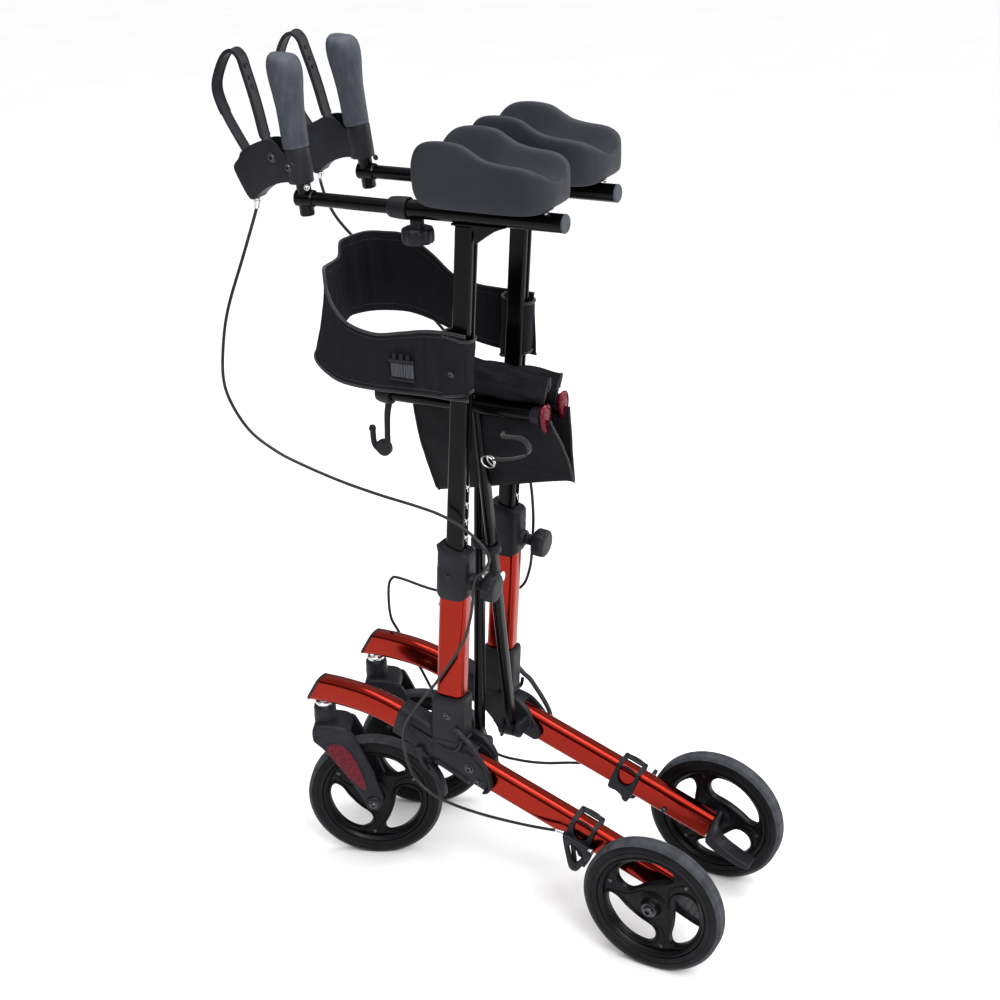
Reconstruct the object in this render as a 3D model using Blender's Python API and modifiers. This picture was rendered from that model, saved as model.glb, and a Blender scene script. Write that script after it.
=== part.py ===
"""Upright walker with forearm rests, folded: a four-wheeled frame on a cross brace.

Units are metres.  +X is the user's left, -Y is the walking direction, +Z is up.
The origin is on the floor, in the middle of the walker's outline.
"""
import bpy
import bmesh
import math
from mathutils import Matrix, Vector

GAP = 0.0003            # air left between neighbouring pieces

# ---- main sizes -------------------------------------------------------------
FRAME_X = 0.0735        # half the distance between the two side frames, folded
LEAN = 0.092            # posts lean back by this much per metre of height
POST_Z, POST_Y = 0.335, -0.0600   # a point on the posts' centre line
TUBE_H, TUBE_W = 0.041, 0.025     # oval frame tube: height and width
WHEEL_R, TYRE_W = 0.100, 0.027
RIM_R = 0.0777
REAR_AXLE = (0.1135, 0.2575, 0.100)
CASTER_X, CASTER_Y = 0.0715, -0.2805
CASTER_TRAIL, CASTER_TURN = 0.0645, math.radians(24.3)
RAIL_Z, RAIL_R = 1.0125, 0.0115   # forearm rail
HANDLE_Y, HANDLE_Z, HANDLE_LEAN = -0.231, 0.992, -0.065
PIVOT = (-0.2685, 1.0645)          # brake lever pin, y and z
RIGHT_HANDLE_TURN = math.radians(4.5)   # the right handle stands turned inwards on its rail
FOOT_X, FOOT_Z, SEAT_Z = 0.026, 0.225, 0.742
CROSS_Z = (FOOT_Z + SEAT_Z) / 2
BRACE_A_Y, BRACE_B_Y = -0.049, -0.025
BASE_LINE = [(-0.330, 0.280), (-0.292, 0.2845), (-0.259, 0.2865), (-0.231, 0.286),
             (-0.204, 0.284), (-0.176, 0.2785), (-0.148, 0.270), (-0.118, 0.259),
             (-0.088, 0.2465), (-0.059, 0.233), (-0.035, 0.222), (0.001, 0.207),
             (0.117, 0.1655), (0.266, 0.1097)]

for thing in list(bpy.data.objects):
    bpy.data.objects.remove(thing, do_unlink=True)

parts = bpy.data.collections.new("upright_walker")
tools = bpy.data.collections.new("cutters")
bpy.context.scene.collection.children.link(parts)
bpy.context.scene.collection.children.link(tools)


# ---- materials --------------------------------------------------------------
def material(name, colour, roughness, metallic=0.0):
    m = bpy.data.materials.new(name)
    m.use_nodes = True
    shader = m.node_tree.nodes["Principled BSDF"]
    shader.inputs["Base Color"].default_value = (*colour, 1.0)
    shader.inputs["Roughness"].default_value = roughness
    shader.inputs["Metallic"].default_value = metallic
    m.diffuse_color = (*colour, 1.0)
    return m


RED = material("candy_red_paint", (0.42, 0.02, 0.012), 0.25, 0.6)
BLACK = material("black_anodised", (0.012, 0.012, 0.014), 0.30, 0.6)
PLASTIC = material("charcoal_plastic", (0.035, 0.036, 0.042), 0.5)
FOAM = material("moulded_foam", (0.060, 0.063, 0.075), 0.75)
RUBBER = material("tyre_rubber", (0.075, 0.077, 0.085), 0.8)
RIM = material("wheel_plastic", (0.014, 0.014, 0.016), 0.45)
STEEL = material("bright_steel", (0.62, 0.62, 0.64), 0.28, 1.0)
WEB = material("black_webbing", (0.018, 0.018, 0.022), 0.85)
CABLE = material("cable_jacket", (0.02, 0.02, 0.022), 0.4)
LENS = material("red_reflector", (0.50, 0.02, 0.03), 0.2)


# ---- modelling helpers ------------------------------------------------------
def place(obj, mat, where=parts):
    for c in list(obj.users_collection):
        c.objects.unlink(obj)
    where.objects.link(obj)
    if mat is not None:
        obj.data.materials.clear()
        obj.data.materials.append(mat)
    return obj


def from_bmesh(name, bm, mat):
    bmesh.ops.recalc_face_normals(bm, faces=bm.faces)
    mesh = bpy.data.meshes.new(name)
    bm.to_mesh(mesh)
    bm.free()
    return place(bpy.data.objects.new(name, mesh), mat)


def smooth(obj, degrees=35):
    obj.data.shade_smooth()
    obj.data.set_sharp_from_angle(angle=math.radians(degrees))
    return obj


def box(name, size, centre, mat=None, tilt=None, bevel=0.0, segments=2):
    bm = bmesh.new()
    bmesh.ops.create_cube(bm, size=1.0)
    bmesh.ops.scale(bm, vec=size, verts=bm.verts)
    if bevel:
        bmesh.ops.bevel(bm, geom=list(bm.edges), offset=bevel, segments=segments,
                        profile=0.5, affect="EDGES")
    obj = from_bmesh(name, bm, mat)
    obj.location = centre
    if tilt:
        obj.rotation_euler = tilt
    return obj


def align(obj, direction):
    obj.rotation_mode = "QUATERNION"
    obj.rotation_quaternion = Vector(direction).to_track_quat("Z", "Y")
    return obj


def rod(name, r, start, end, mat=None, sides=20, r_end=None):
    a, b = Vector(start), Vector(end)
    bm = bmesh.new()
    bmesh.ops.create_cone(bm, cap_ends=True, segments=sides, radius1=r,
                          radius2=r if r_end is None else r_end, depth=(b - a).length)
    obj = from_bmesh(name, bm, mat)
    obj.location = (a + b) / 2
    return align(obj, b - a)


def turned(name, profile, centre, axis, mat, steps=32):
    """Closed (radius, height) profile screwed round `axis` through `centre`."""
    mesh = bpy.data.meshes.new(name)
    n = len(profile)
    loop = profile[0][0] > 0 and profile[-1][0] > 0
    edges = [(i, i + 1) for i in range(n - 1)] + ([(n - 1, 0)] if loop else [])
    mesh.from_pydata([(r, 0, z) for r, z in profile], edges, [])
    obj = place(bpy.data.objects.new(name, mesh), mat)
    screw = obj.modifiers.new("turn", "SCREW")
    screw.steps = screw.render_steps = steps
    screw.use_merge_vertices = True
    screw.merge_threshold = 0.00005
    obj.location = centre
    return align(obj, axis)


def baked(obj, name=None, mat=None):
    """The object as its modifiers leave it, in world space, as a plain mesh."""
    bpy.context.view_layer.update()
    evaluated = obj.evaluated_get(bpy.context.evaluated_depsgraph_get())
    mesh = bpy.data.meshes.new_from_object(evaluated)
    matrix = obj.matrix_world.copy()
    bm = bmesh.new()
    bm.from_mesh(mesh)
    bmesh.ops.remove_doubles(bm, verts=bm.verts, dist=0.000005)
    bmesh.ops.transform(bm, matrix=matrix, verts=bm.verts)
    bmesh.ops.recalc_face_normals(bm, faces=bm.faces)
    bm.to_mesh(mesh)
    bm.free()
    wanted = name or obj.name
    old_mat = obj.data.materials[0] if obj.data.materials else None
    bpy.data.objects.remove(obj, do_unlink=True)
    return place(bpy.data.objects.new(wanted, mesh), mat or old_mat)


def curve(name, points, cyclic=False, smooth_line=False, dims="3D"):
    data = bpy.data.curves.new(name, "CURVE")
    data.dimensions = dims
    spline = data.splines.new("POLY")
    spline.points.add(len(points) - 1)
    for p, co in zip(spline.points, points):
        p.co = (*co, *([0.0] * (3 - len(co))), 1.0)
    spline.use_cyclic_u = cyclic
    return bpy.data.objects.new(name, data)


def plate(name, outline, thickness, x, mat=None, holes=()):
    """Flat outline in the YZ plane, extruded along X and centred on x."""
    obj = curve(name, outline, cyclic=True, dims="2D")
    obj.data.fill_mode = "BOTH"
    obj.data.extrude = thickness / 2
    for hole in holes:
        spline = obj.data.splines.new("POLY")
        spline.points.add(len(hole) - 1)
        for p, co in zip(spline.points, hole):
            p.co = (*co, 0.0, 1.0)
        spline.use_cyclic_u = True
    place(obj, mat)
    obj.matrix_world = Matrix(((0, 0, 1, x), (1, 0, 0, 0), (0, 1, 0, 0), (0, 0, 0, 1)))
    return baked(obj, name)


def spline_through(points, per_span=4):
    """Points on a smooth curve through the given ones."""
    pts = [Vector(p) for p in points]
    ends = [2 * pts[0] - pts[1]] + pts + [2 * pts[-1] - pts[-2]]
    out = []
    for i in range(1, len(ends) - 2):
        a, b, c, d = ends[i - 1:i + 3]
        for k in range(per_span):
            t = k / per_span
            out.append(0.5 * ((2 * b) + (c - a) * t + (2 * a - 5 * b + 4 * c - d) * t * t
                              + (3 * b - a - 3 * c + d) * t ** 3))
    return out + [pts[-1]]


def wire(name, points, radius, mat, resolution=2):
    obj = curve(name, [tuple(p) for p in points])
    obj.data.bevel_depth = radius
    obj.data.bevel_resolution = resolution
    obj.data.use_fill_caps = True
    obj.data.twist_mode = "MINIMUM"
    place(obj, mat)
    return baked(obj, name)


def rounded(w, h, r, n=4):
    """Rounded rectangle, w across and h high, anticlockwise."""
    pts = []
    for cx, cy, a0 in ((w / 2 - r, h / 2 - r, 0), (r - w / 2, h / 2 - r, 90),
                       (r - w / 2, r - h / 2, 180), (w / 2 - r, r - h / 2, 270)):
        for k in range(n + 1):
            a = math.radians(a0 + 90 * k / n)
            pts.append((cx + r * math.cos(a), cy + r * math.sin(a)))
    return pts


def sweep(name, line, section, x, mat):
    """A section (x, normal) carried along a line of (y, z) points in the plane X = x."""
    pts = [Vector(p) for p in line]
    rings = []
    for i, p in enumerate(pts):
        t = (pts[min(i + 1, len(pts) - 1)] - pts[max(i - 1, 0)]).normalized()
        n = Vector((-t.y, t.x))
        rings.append([(x + u, p.x + n.x * v, p.y + n.y * v) for u, v in section])
    return loft(name, rings, mat)


def loft(name, rings, mat):
    bm = bmesh.new()
    rows = [[bm.verts.new(p) for p in ring] for ring in rings]
    for a, b in zip(rows, rows[1:]):
        for i in range(len(a)):
            j = (i + 1) % len(a)
            bm.faces.new((a[i], a[j], b[j], b[i]))
    bm.faces.new(rows[0][::-1])
    bm.faces.new(rows[-1])
    return from_bmesh(name, bm, mat)


def combine(obj, other, operation):
    """Boolean of obj with other; other is kept as a hidden tool."""
    place(other, None, tools)
    other.hide_render = True
    other.display_type = "WIRE"
    mod = obj.modifiers.new(operation.lower(), "BOOLEAN")
    mod.operation = operation
    mod.object = other
    mod.solver = "EXACT"
    return obj


def cut(obj, *others):
    for other in others:
        combine(obj, other, "DIFFERENCE")
    return obj


def join(obj, *others):
    for other in others:
        combine(obj, other, "UNION")
    return obj


def settle(obj):
    """Apply the booleans, drop the tools they used, and keep one clean mesh."""
    used = [m.object for m in obj.modifiers if m.type == "BOOLEAN"]
    new = baked(obj)
    for other in used:
        bpy.data.objects.remove(other, do_unlink=True)
    return new


def post_y(z):
    return POST_Y + LEAN * (z - POST_Z)


def post_piece(name, w, h, r, z0, z1, x, mat, n=4):
    """Upright rounded tube on the leaning post line, cut level at both ends."""
    outline = rounded(w, h, r, n)
    return loft(name, [[(x + u, post_y(z) + v, z) for u, v in outline] for z in (z0, z1)], mat)


def pivot(name, location, turn=0.0):
    e = bpy.data.objects.new(name, None)
    e.empty_display_size = 0.03
    e.location = location
    e.rotation_euler = (0, 0, turn)
    parts.objects.link(e)
    return e


def hang(obj, parent):
    """Parent obj to an empty whose frame it was modelled in."""
    obj.parent = parent
    return obj


def origin_at(obj, point):
    """Move an unparented mesh object's origin to a point on its joint's axis."""
    shift = Vector(point)
    obj.data.transform(Matrix.Translation(-shift) @ obj.matrix_world)
    obj.matrix_world = Matrix.Translation(shift)
    return obj


def swell(outline, amount):
    """The outline moved out from its middle by about `amount` all round."""
    mid = sum((Vector(p) for p in outline), Vector((0, 0))) / len(outline)
    return [tuple(Vector(p) + (Vector(p) - mid).normalized() * amount) for p in outline]


def ring_points(r, n, cy=0.0, cz=0.0):
    return [(cy + r * math.cos(2 * math.pi * k / n), cz + r * math.sin(2 * math.pi * k / n))
            for k in range(n)]


# ---- wheels -----------------------------------------------------------------
def window(turn):
    """Comma-shaped opening in the wheel's disc: a narrow tip at the rim, a bulb at the hub."""
    shape = [(0.0605, -3), (0.0665, 3), (0.0688, 20), (0.0688, 42), (0.0684, 62), (0.0655, 80),
             (0.0565, 91), (0.0440, 96), (0.0340, 92), (0.0295, 78), (0.0292, 58), (0.0318, 37),
             (0.0390, 15), (0.0490, 0)]
    return [(r * math.cos(turn + math.radians(a)), r * math.sin(turn + math.radians(a)))
            for r, a in shape]


def wheel(name, centre, phase, hub_low, hub_high, bore, parent=None):
    """Tyre and three-spoked rim, turning about X through `centre`."""
    cx, cy, cz = centre
    half = TYRE_W / 2
    tyre = turned(f"{name}_tyre", [
        (RIM_R + GAP, half - 0.003), (0.086, half), (0.0945, half - 0.0015),
        (WHEEL_R, half - 0.006), (WHEEL_R, 0.006 - half),
        (0.0945, 0.0015 - half), (0.086, -half), (RIM_R + GAP, 0.003 - half)],
        centre, (1, 0, 0), RUBBER, 28)
    smooth(tyre, 50)
    turns = [math.radians(phase + a) for a in (0, 120, 240)]
    disc = plate(f"{name}_disc", ring_points(0.0720, 28), 0.012, 0.0, RIM,
                 holes=[window(t) for t in turns])
    rim = turned(f"{name}_rim", [
        (RIM_R, half - 0.0035), (RIM_R, 0.0035 - half), (0.0700, 0.004 - half),
        (0.0700, half - 0.004)], (0, 0, 0), (1, 0, 0), RIM, 28)
    hub = rod("hub", 0.0165, (hub_low, 0, 0), (hub_high, 0, 0), sides=20)
    join(rim, disc, hub)
    cut(rim, rod("bore", bore, (-0.06, 0, 0), (0.06, 0, 0), sides=16))
    rim = settle(rim)
    rim.name = f"{name}_rim"
    rim.location = centre
    smooth(rim, 40)
    if parent:
        hang(tyre, parent)
        hang(rim, parent)


# ---- one side of the walker -------------------------------------------------
def build_side(s, side):
    x = s * FRAME_X
    inner = -s                       # direction of the walker's middle

    # base tube, cut off at a slant at its front, with a plug in that end
    section = rounded(TUBE_W, TUBE_H, 0.009, 3)
    front_cut = Matrix.Translation((x, -0.2905, 0.2855)) @ Matrix.Rotation(math.radians(-31), 4, "X")

    def slab(name, lo, hi):
        b = box(name, (0.08, hi - lo, 0.12), (0, 0, 0))
        b.matrix_world = front_cut @ Matrix.Translation((0, (lo + hi) / 2, 0))
        return b

    base = sweep(f"base_tube_{side}", BASE_LINE, section, x, RED)
    cut(base, slab("front_end", -0.09, 0.0035 + GAP),
        rod("axle_hole", 0.0053, (x - 0.03, *REAR_AXLE[1:]), (x + 0.03, *REAR_AXLE[1:]), sides=16),
        rod("stem_hole", 0.0098, (s * CASTER_X, CASTER_Y, 0.20), (s * CASTER_X, CASTER_Y, 0.2735),
            sides=20))
    smooth(settle(base), 40)
    plug = sweep(f"base_plug_{side}", BASE_LINE[:4], section, x, PLASTIC)
    combine(plug, slab("plug_slice", 0.0, 0.0035), "INTERSECT")
    smooth(settle(plug), 40)

    # kerb pedal on the base tube's rear end
    pedal = plate(f"kerb_pedal_{side}", [
        (0.2740, 0.1305), (0.2795, 0.1280), (0.2725, 0.1080), (0.2735, 0.0975), (0.2840, 0.0860),
        (0.3130, 0.0700), (0.3250, 0.0665), (0.3285, 0.0625), (0.3250, 0.0580), (0.3120, 0.0585),
        (0.2790, 0.0730), (0.2655, 0.0820), (0.2600, 0.0880), (0.2665, 0.1075)],
        0.026, x, PLASTIC)
    smooth(pedal)

    # hinge housing: a sleeve on the base tube, a socket for the post, side noses, an inner lug
    sleeve_line = [p for p in BASE_LINE if -0.150 < p[0] < -0.030]
    house = sweep(f"hinge_housing_{side}", sleeve_line, rounded(0.034, 0.050, 0.010, 3), x, PLASTIC)
    socket = post_piece("socket", 0.037, 0.0515, 0.010, 0.236, 0.3285, x, None, 3)
    join(house, socket)
    for dx in (-0.0152, 0.0152):
        nose = plate("nose", [(-0.0700, 0.2520), (-0.0310, 0.2476), (-0.0150, 0.2370),
                              (0.0045, 0.2130), (0.0060, 0.2050), (0.0040, 0.1975),
                              (-0.0015, 0.1935), (-0.0080, 0.1930), (-0.0700, 0.2150)], 0.0046, x + dx)
        join(house, nose)
    lug = plate("lug", [(-0.0690, 0.262), (-0.0690, 0.212), (-0.0640, 0.208), (-0.0100, 0.208),
                        (-0.0060, 0.213), (-0.0060, 0.236), (-0.0300, 0.262)],
                0.0095, x + inner * 0.0198)
    join(house, lug)
    bore_line = [(-0.20, 0.284)] + BASE_LINE[5:12] + [(0.06, 0.1859)]
    cut(house,
        sweep("tube_bore", bore_line, rounded(TUBE_W + 2 * GAP, TUBE_H + 2 * GAP, 0.0093, 3), x, None),
        post_piece("post_bore", TUBE_W + 2 * GAP, TUBE_H + 2 * GAP, 0.0073, 0.2705, 0.36, x, None, 3))
    # ear pair that holds a brace's foot, on the lug's inner face
    foot_y = BRACE_A_Y if s > 0 else BRACE_B_Y
    for dy in (-0.0125, 0.0125):
        ear = rod("ear", 0.012, (s * FOOT_X, foot_y + dy - 0.0035, FOOT_Z),
                  (s * FOOT_X, foot_y + dy + 0.0035, FOOT_Z), sides=20)
        arm = box("ear_arm", (0.026, 0.007, 0.020),
                  (s * (FOOT_X + 0.0125), foot_y + dy, FOOT_Z))
        join(house, ear, arm)
    if s > 0:
        pin = rod("pin", 0.0045, (s * FOOT_X, foot_y - 0.012, FOOT_Z),
                  (s * FOOT_X, foot_y + 0.012, FOOT_Z), sides=16)
        join(house, pin)
    smooth(settle(house), 40)

    # lower post: a hollow oval tube
    lower = post_piece(f"lower_post_{side}", TUBE_W, TUBE_H, 0.007, 0.2710, 0.5300, x, RED, 4)
    cut(lower, post_piece("lower_bore", TUBE_W - 0.003, TUBE_H - 0.004, 0.0055, 0.2600, 0.5400, x, None, 3))
    smooth(settle(lower), 40)

    # sleeve on top of the lower post, which guides the upper one
    sleeve = post_piece(f"height_sleeve_{side}", 0.034, 0.0485, 0.010, 0.4900, 0.5680, x, PLASTIC, 4)
    top = box("sleeve_top", (0.08, 0.09, 0.03), (x, post_y(0.56), 0.5710), tilt=(-0.30, 0, 0))
    hub = Vector((x, post_y(0.512), 0.512))
    back = Vector((0, 1, -LEAN)).normalized()
    boss = rod("boss", 0.0105, hub + back * 0.018, hub + back * 0.0300)
    join(sleeve, boss)
    cut(sleeve, top,
        post_piece("sleeve_low", TUBE_W + 2 * GAP, TUBE_H + 2 * GAP, 0.0073, 0.48, 0.5303, x, None, 4),
        post_piece("sleeve_high", 0.0216, 0.0256, 0.0045, 0.52, 0.58, x, None, 3),
        rod("screw_hole", 0.0043, hub + back * 0.010, hub + back * 0.05, sides=16))
    smooth(settle(sleeve), 40)

    # clamp knob behind the sleeve
    at = hub + back * 0.0300
    knob = rod(f"height_knob_{side}", 0.0198, at + back * 0.0145, at + back * 0.0335, PLASTIC, 24)
    join(knob, rod("neck", 0.0075, at + back * 0.0005, at + back * 0.016),
         rod("screw", 0.0040, at - back * 0.0085, at + back * 0.004, sides=16))
    origin_at(smooth(settle(knob)), at)

    # upper post: narrow rounded tube with a groove down its back
    upper = post_piece(f"upper_post_{side}", 0.021, 0.025, 0.0045, 0.3600, 0.9985, x, BLACK, 3)
    groove = loft("groove", [[(x + u, post_y(z) + v, z) for u, v in
                              ((-0.004, 0.0105), (0.004, 0.0105), (0.004, 0.02), (-0.004, 0.02))]
                             for z in (0.35, 1.01)], None)
    cut(upper, groove)
    smooth(settle(upper), 40)

    # forearm rail, its gusset and the boss of its clamp screw
    rail = rod(f"forearm_rail_{side}", RAIL_R, (x, -0.0850, RAIL_Z), (x, 0.1360, RAIL_Z), BLACK, 24)
    y_top = post_y(0.99)
    saddle = plate("saddle", [
        (y_top - 0.0165, 0.9985 + GAP), (y_top - 0.0165, 1.0110), (0.0560, 1.0110),
        (0.0530, 1.0050), (y_top + 0.0165, 0.9790), (y_top + 0.0145, 0.9780),
        (y_top + 0.0145, 0.9985 + GAP)], 0.018, x)
    join(rail, saddle)
    cut(rail, rod("rail_bore", 0.0094, (x, -0.10, RAIL_Z), (x, 0.1280, RAIL_Z), sides=24),
        rod("knob_hole", 0.0063, (x, -0.069, 0.99), (x, -0.069, 1.0125), sides=16))
    smooth(settle(rail), 40)

    collar = turned(f"rail_collar_{side}", [
        (0.0140, 0.0062), (0.0140, -0.0040), (0.0133, -0.0150), (0.0118, -0.0205),
        (0.0094, -0.0205), (0.0094, -0.0003), (0.0118, 0.0), (0.0118, 0.0062)],
        (x, -0.0850, RAIL_Z), (0, 1, 0), PLASTIC, 20)
    smooth(collar, 35)

    turn_at = Vector((x, -0.069, RAIL_Z))
    grip_knob = turned(f"rail_knob_{side}", [
        (0.0, -0.0115), (0.0060, -0.0115), (0.0060, -0.0130), (0.0080, -0.0130), (0.0080, -0.0215),
        (0.0170, -0.0225), (0.0205, -0.0260), (0.0205, -0.0400), (0.0180, -0.0425), (0.0, -0.0425)],
        turn_at, (0, 0, 1), PLASTIC, 24)
    smooth(grip_knob)

    # forearm pad: a trough between two raised wings, high at the front
    pad_x = s * 0.0725

    def pad_ring(y, half_w, bottom, trough, wing):
        shape = [(-1.0, 0.20), (-1.0, 0.72), (-0.93, 0.95), (-0.82, 1.0), (-0.72, 0.90),
                 (-0.52, 0.36), (-0.28, 0.06), (0.0, 0.0), (0.28, 0.06), (0.52, 0.36),
                 (0.72, 0.90), (0.82, 1.0), (0.93, 0.95), (1.0, 0.72), (1.0, 0.20)]
        pts = [(pad_x + u * half_w, y, trough + (wing - trough) * v) for u, v in shape]
        for u, z in ((0.97, bottom + 0.007), (0.86, bottom), (-0.86, bottom), (-0.97, bottom + 0.007)):
            pts.append((pad_x + u * half_w, y, z))
        return pts

    pad = loft(f"forearm_pad_{side}", [
        pad_ring(-0.0530, 0.036, 1.0500, 1.0600, 1.0700), pad_ring(-0.0470, 0.043, 1.0380, 1.0580, 1.0900),
        pad_ring(-0.0360, 0.048, 1.0290, 1.0550, 1.1040), pad_ring(-0.0200, 0.050, 1.0270, 1.0520, 1.1095),
        pad_ring(0.0060, 0.051, 1.0270, 1.0500, 1.1100), pad_ring(0.0250, 0.051, 1.0270, 1.0490, 1.1060),
        pad_ring(0.0480, 0.051, 1.0270, 1.0490, 1.0930), pad_ring(0.0740, 0.051, 1.0270, 1.0500, 1.0870),
        pad_ring(0.0980, 0.050, 1.0270, 1.0530, 1.0860), pad_ring(0.1120, 0.046, 1.0280, 1.0570, 1.0830),
        pad_ring(0.1210, 0.039, 1.0310, 1.0600, 1.0770), pad_ring(0.1270, 0.028, 1.0360, 1.0600, 1.0680)],
        FOAM)
    smooth(pad, 50)

    # handle: a tube that slides in the rail, and a leaning tube through the clamp
    up = Vector((0, HANDLE_LEAN, 1)).normalized()
    foot = Vector((x, HANDLE_Y, HANDLE_Z))
    handle = rod(f"handle_tube_{side}", 0.0090, (x, HANDLE_Y - 0.002, RAIL_Z), (x, 0.0100, RAIL_Z),
                 BLACK, 24)
    join(handle, rod("upright", 0.0095, foot, foot + up * 0.180, sides=24))
    smooth(settle(handle), 40)

    # hand grip over the upright's top
    seam = foot + up * 0.0840
    grip = turned(f"hand_grip_{side}", [
        (0.0, 0.1170), (0.0100, 0.1150), (0.0170, 0.1095), (0.0210, 0.1010), (0.0216, 0.0900),
        (0.0202, 0.0720), (0.0190, 0.0500), (0.0188, 0.0300), (0.0187, 0.0060), (0.0182, 0.0),
        (0.0098, 0.0), (0.0098, 0.0975), (0.0, 0.0975)], seam, up, FOAM, 20)
    smooth(grip, 50)

    # lever bracket: a plate with a slot, clamped round the upright
    bracket = plate(f"lever_bracket_{side}", [
        (-0.3190, 0.0673 + 1), (-0.3030, 1.0772), (-0.2837, 1.0849), (-0.2680, 1.0865),
        (-0.2575, 1.0790), (-0.2560, 1.0715), (-0.2340, 1.0700), (-0.2340, 1.0345), (-0.2576, 1.0335),
        (-0.2816, 1.0249), (-0.2970, 1.0140), (-0.3020, 1.0070), (-0.3118, 1.0070),
        (-0.3295, 1.0406), (-0.3315, 1.0495), (-0.3207, 1.0606)], 0.024, x, PLASTIC)
    clamp = rod("clamp", 0.0175, seam - up * 0.0430, seam - up * 0.0004, sides=24)
    join(bracket, clamp)
    slot = plate("slot", [(-0.330, 1.058), (-0.300, 1.046), (-0.272, 1.044), (-0.256, 1.056),
                          (-0.256, 1.10), (-0.330, 1.10)], 0.019, x)
    cut(bracket, rod("clamp_bore", 0.0098, foot, foot + up * 0.12, sides=24), slot)
    screw = rod("pivot_pin", 0.0030, (x - 0.0105, *PIVOT), (x + 0.0105, *PIVOT), sides=12)
    join(bracket, screw)
    smooth(settle(bracket), 40)

    # brake lever: a flat strap bent to a loop, on a root that turns on the pin
    loop = [(-0.2640, 1.0660), (-0.2760, 1.0760), (-0.2850, 1.0870), (-0.2920, 1.1200),
            (-0.2985, 1.1470), (-0.3050, 1.1700), (-0.3100, 1.1860), (-0.3200, 1.1935),
            (-0.3330, 1.1870), (-0.3450, 1.1680), (-0.3520, 1.1480), (-0.3490, 1.1290),
            (-0.3380, 1.1050), (-0.3180, 1.0720), (-0.3110, 1.0640)]
    line = [(p.x, p.y) for p in spline_through([(*p, 0.0) for p in loop], 2)]
    lever = sweep(f"brake_lever_{side}", line, rounded(0.0175, 0.0038, 0.0016, 1), x, PLASTIC)
    root = plate("root", [(-0.3160, 1.0660), (-0.3040, 1.0560), (-0.2930, 1.0510), (-0.2720, 1.0500),
                          (-0.2590, 1.0620), (-0.2640, 1.0700), (-0.2760, 1.0740),
                          (-0.2960, 1.0700), (-0.3100, 1.0690)], 0.0175, x)
    join(lever, root)
    cut(lever, rod("lever_bore", 0.0034, (x - 0.02, *PIVOT), (x + 0.02, *PIVOT), sides=12))
    origin_at(smooth(settle(lever), 40), (x, *PIVOT))

    if s < 0:
        turn = bpy.data.objects.new("handle_turn_right", None)
        turn.location = (x, 0, RAIL_Z)
        turn.rotation_euler = (0, RIGHT_HANDLE_TURN, 0)
        parts.objects.link(turn)
        for name in ("handle_tube", "hand_grip", "lever_bracket", "brake_lever"):
            obj = bpy.data.objects[f"{name}_{side}"]
            obj.parent = turn
            obj.matrix_parent_inverse = Matrix.Translation((-x, 0, -RAIL_Z))

    # rear wheel on its axle bolt
    rx, ry, rz = REAR_AXLE
    ends = (-0.0245, 0.0155) if s > 0 else (-0.0155, 0.0245)
    wheel(f"rear_wheel_{side}", (s * rx, ry, rz), 60 if s > 0 else 5, *ends, 0.0053)
    axle = rod(f"rear_axle_{side}", 0.0050, (s * 0.0570, ry, rz), (s * 0.1340, ry, rz), STEEL, 16)
    join(axle, rod("head", 0.0085, (s * 0.1294, ry, rz), (s * 0.1345, ry, rz), sides=6),
         rod("nut", 0.0080, (s * 0.0555, ry, rz), (s * 0.0602, ry, rz), sides=6))
    smooth(settle(axle))

    # brake bracket round the base tube, and the arm that presses on the tyre
    caliper = sweep(f"brake_bracket_{side}", [(0.1310, 0.1603), (0.1650, 0.1476)],
                    rounded(0.033, 0.049, 0.009, 3), x, PLASTIC)
    window_cut = box("side_window", (0.08, 0.024, 0.021), (x, 0.1480, 0.1590), tilt=(-0.36, 0, 0),
                     bevel=0.006)
    cut(caliper, sweep("caliper_bore", [(0.10, 0.17156), (0.20, 0.13418)],
                       rounded(TUBE_W + 2 * GAP, TUBE_H + 2 * GAP, 0.0093, 3), x, None), window_cut)
    cheek = plate("cheek", [(0.1240, 0.1500), (0.1340, 0.1470), (0.1370, 0.1120), (0.1340, 0.1065),
                            (0.1280, 0.1065), (0.1250, 0.1120)], 0.0040, x + s * 0.0165)
    pin = rod("arm_pin", 0.0030, (x + s * 0.0160, 0.1310, 0.1120), (x + s * 0.0270, 0.1310, 0.1120),
              sides=12)
    join(caliper, cheek, pin)
    smooth(settle(caliper), 40)

    ax = x + s * 0.0225
    arm = plate(f"brake_arm_{side}", [
        (0.1150, 0.1560), (0.1180, 0.1595), (0.1220, 0.1590), (0.1570, 0.1470), (0.1610, 0.1440),
        (0.1600, 0.1395), (0.1390, 0.1070), (0.1330, 0.1035), (0.1270, 0.1045), (0.1230, 0.1100)],
        0.0060, ax, PLASTIC,
        holes=[[(0.1225, 0.1510), (0.1500, 0.1410), (0.1370, 0.1185), (0.1285, 0.1180)]])
    shoe = box("shoe", (0.018, 0.006, 0.012), (s * 0.1130, 0.1590, 0.1400), tilt=(-0.384, 0, 0))
    bridge = box("bridge", (0.012, 0.007, 0.008), (s * 0.1010, 0.1575, 0.1405), tilt=(-0.384, 0, 0))
    join(arm, shoe, bridge)
    cut(arm, rod("arm_bore", 0.0034, (ax - 0.02, 0.1310, 0.1120), (ax + 0.02, 0.1310, 0.1120), sides=12))
    origin_at(smooth(settle(arm), 40), (ax, 0.1310, 0.1120))

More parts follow.
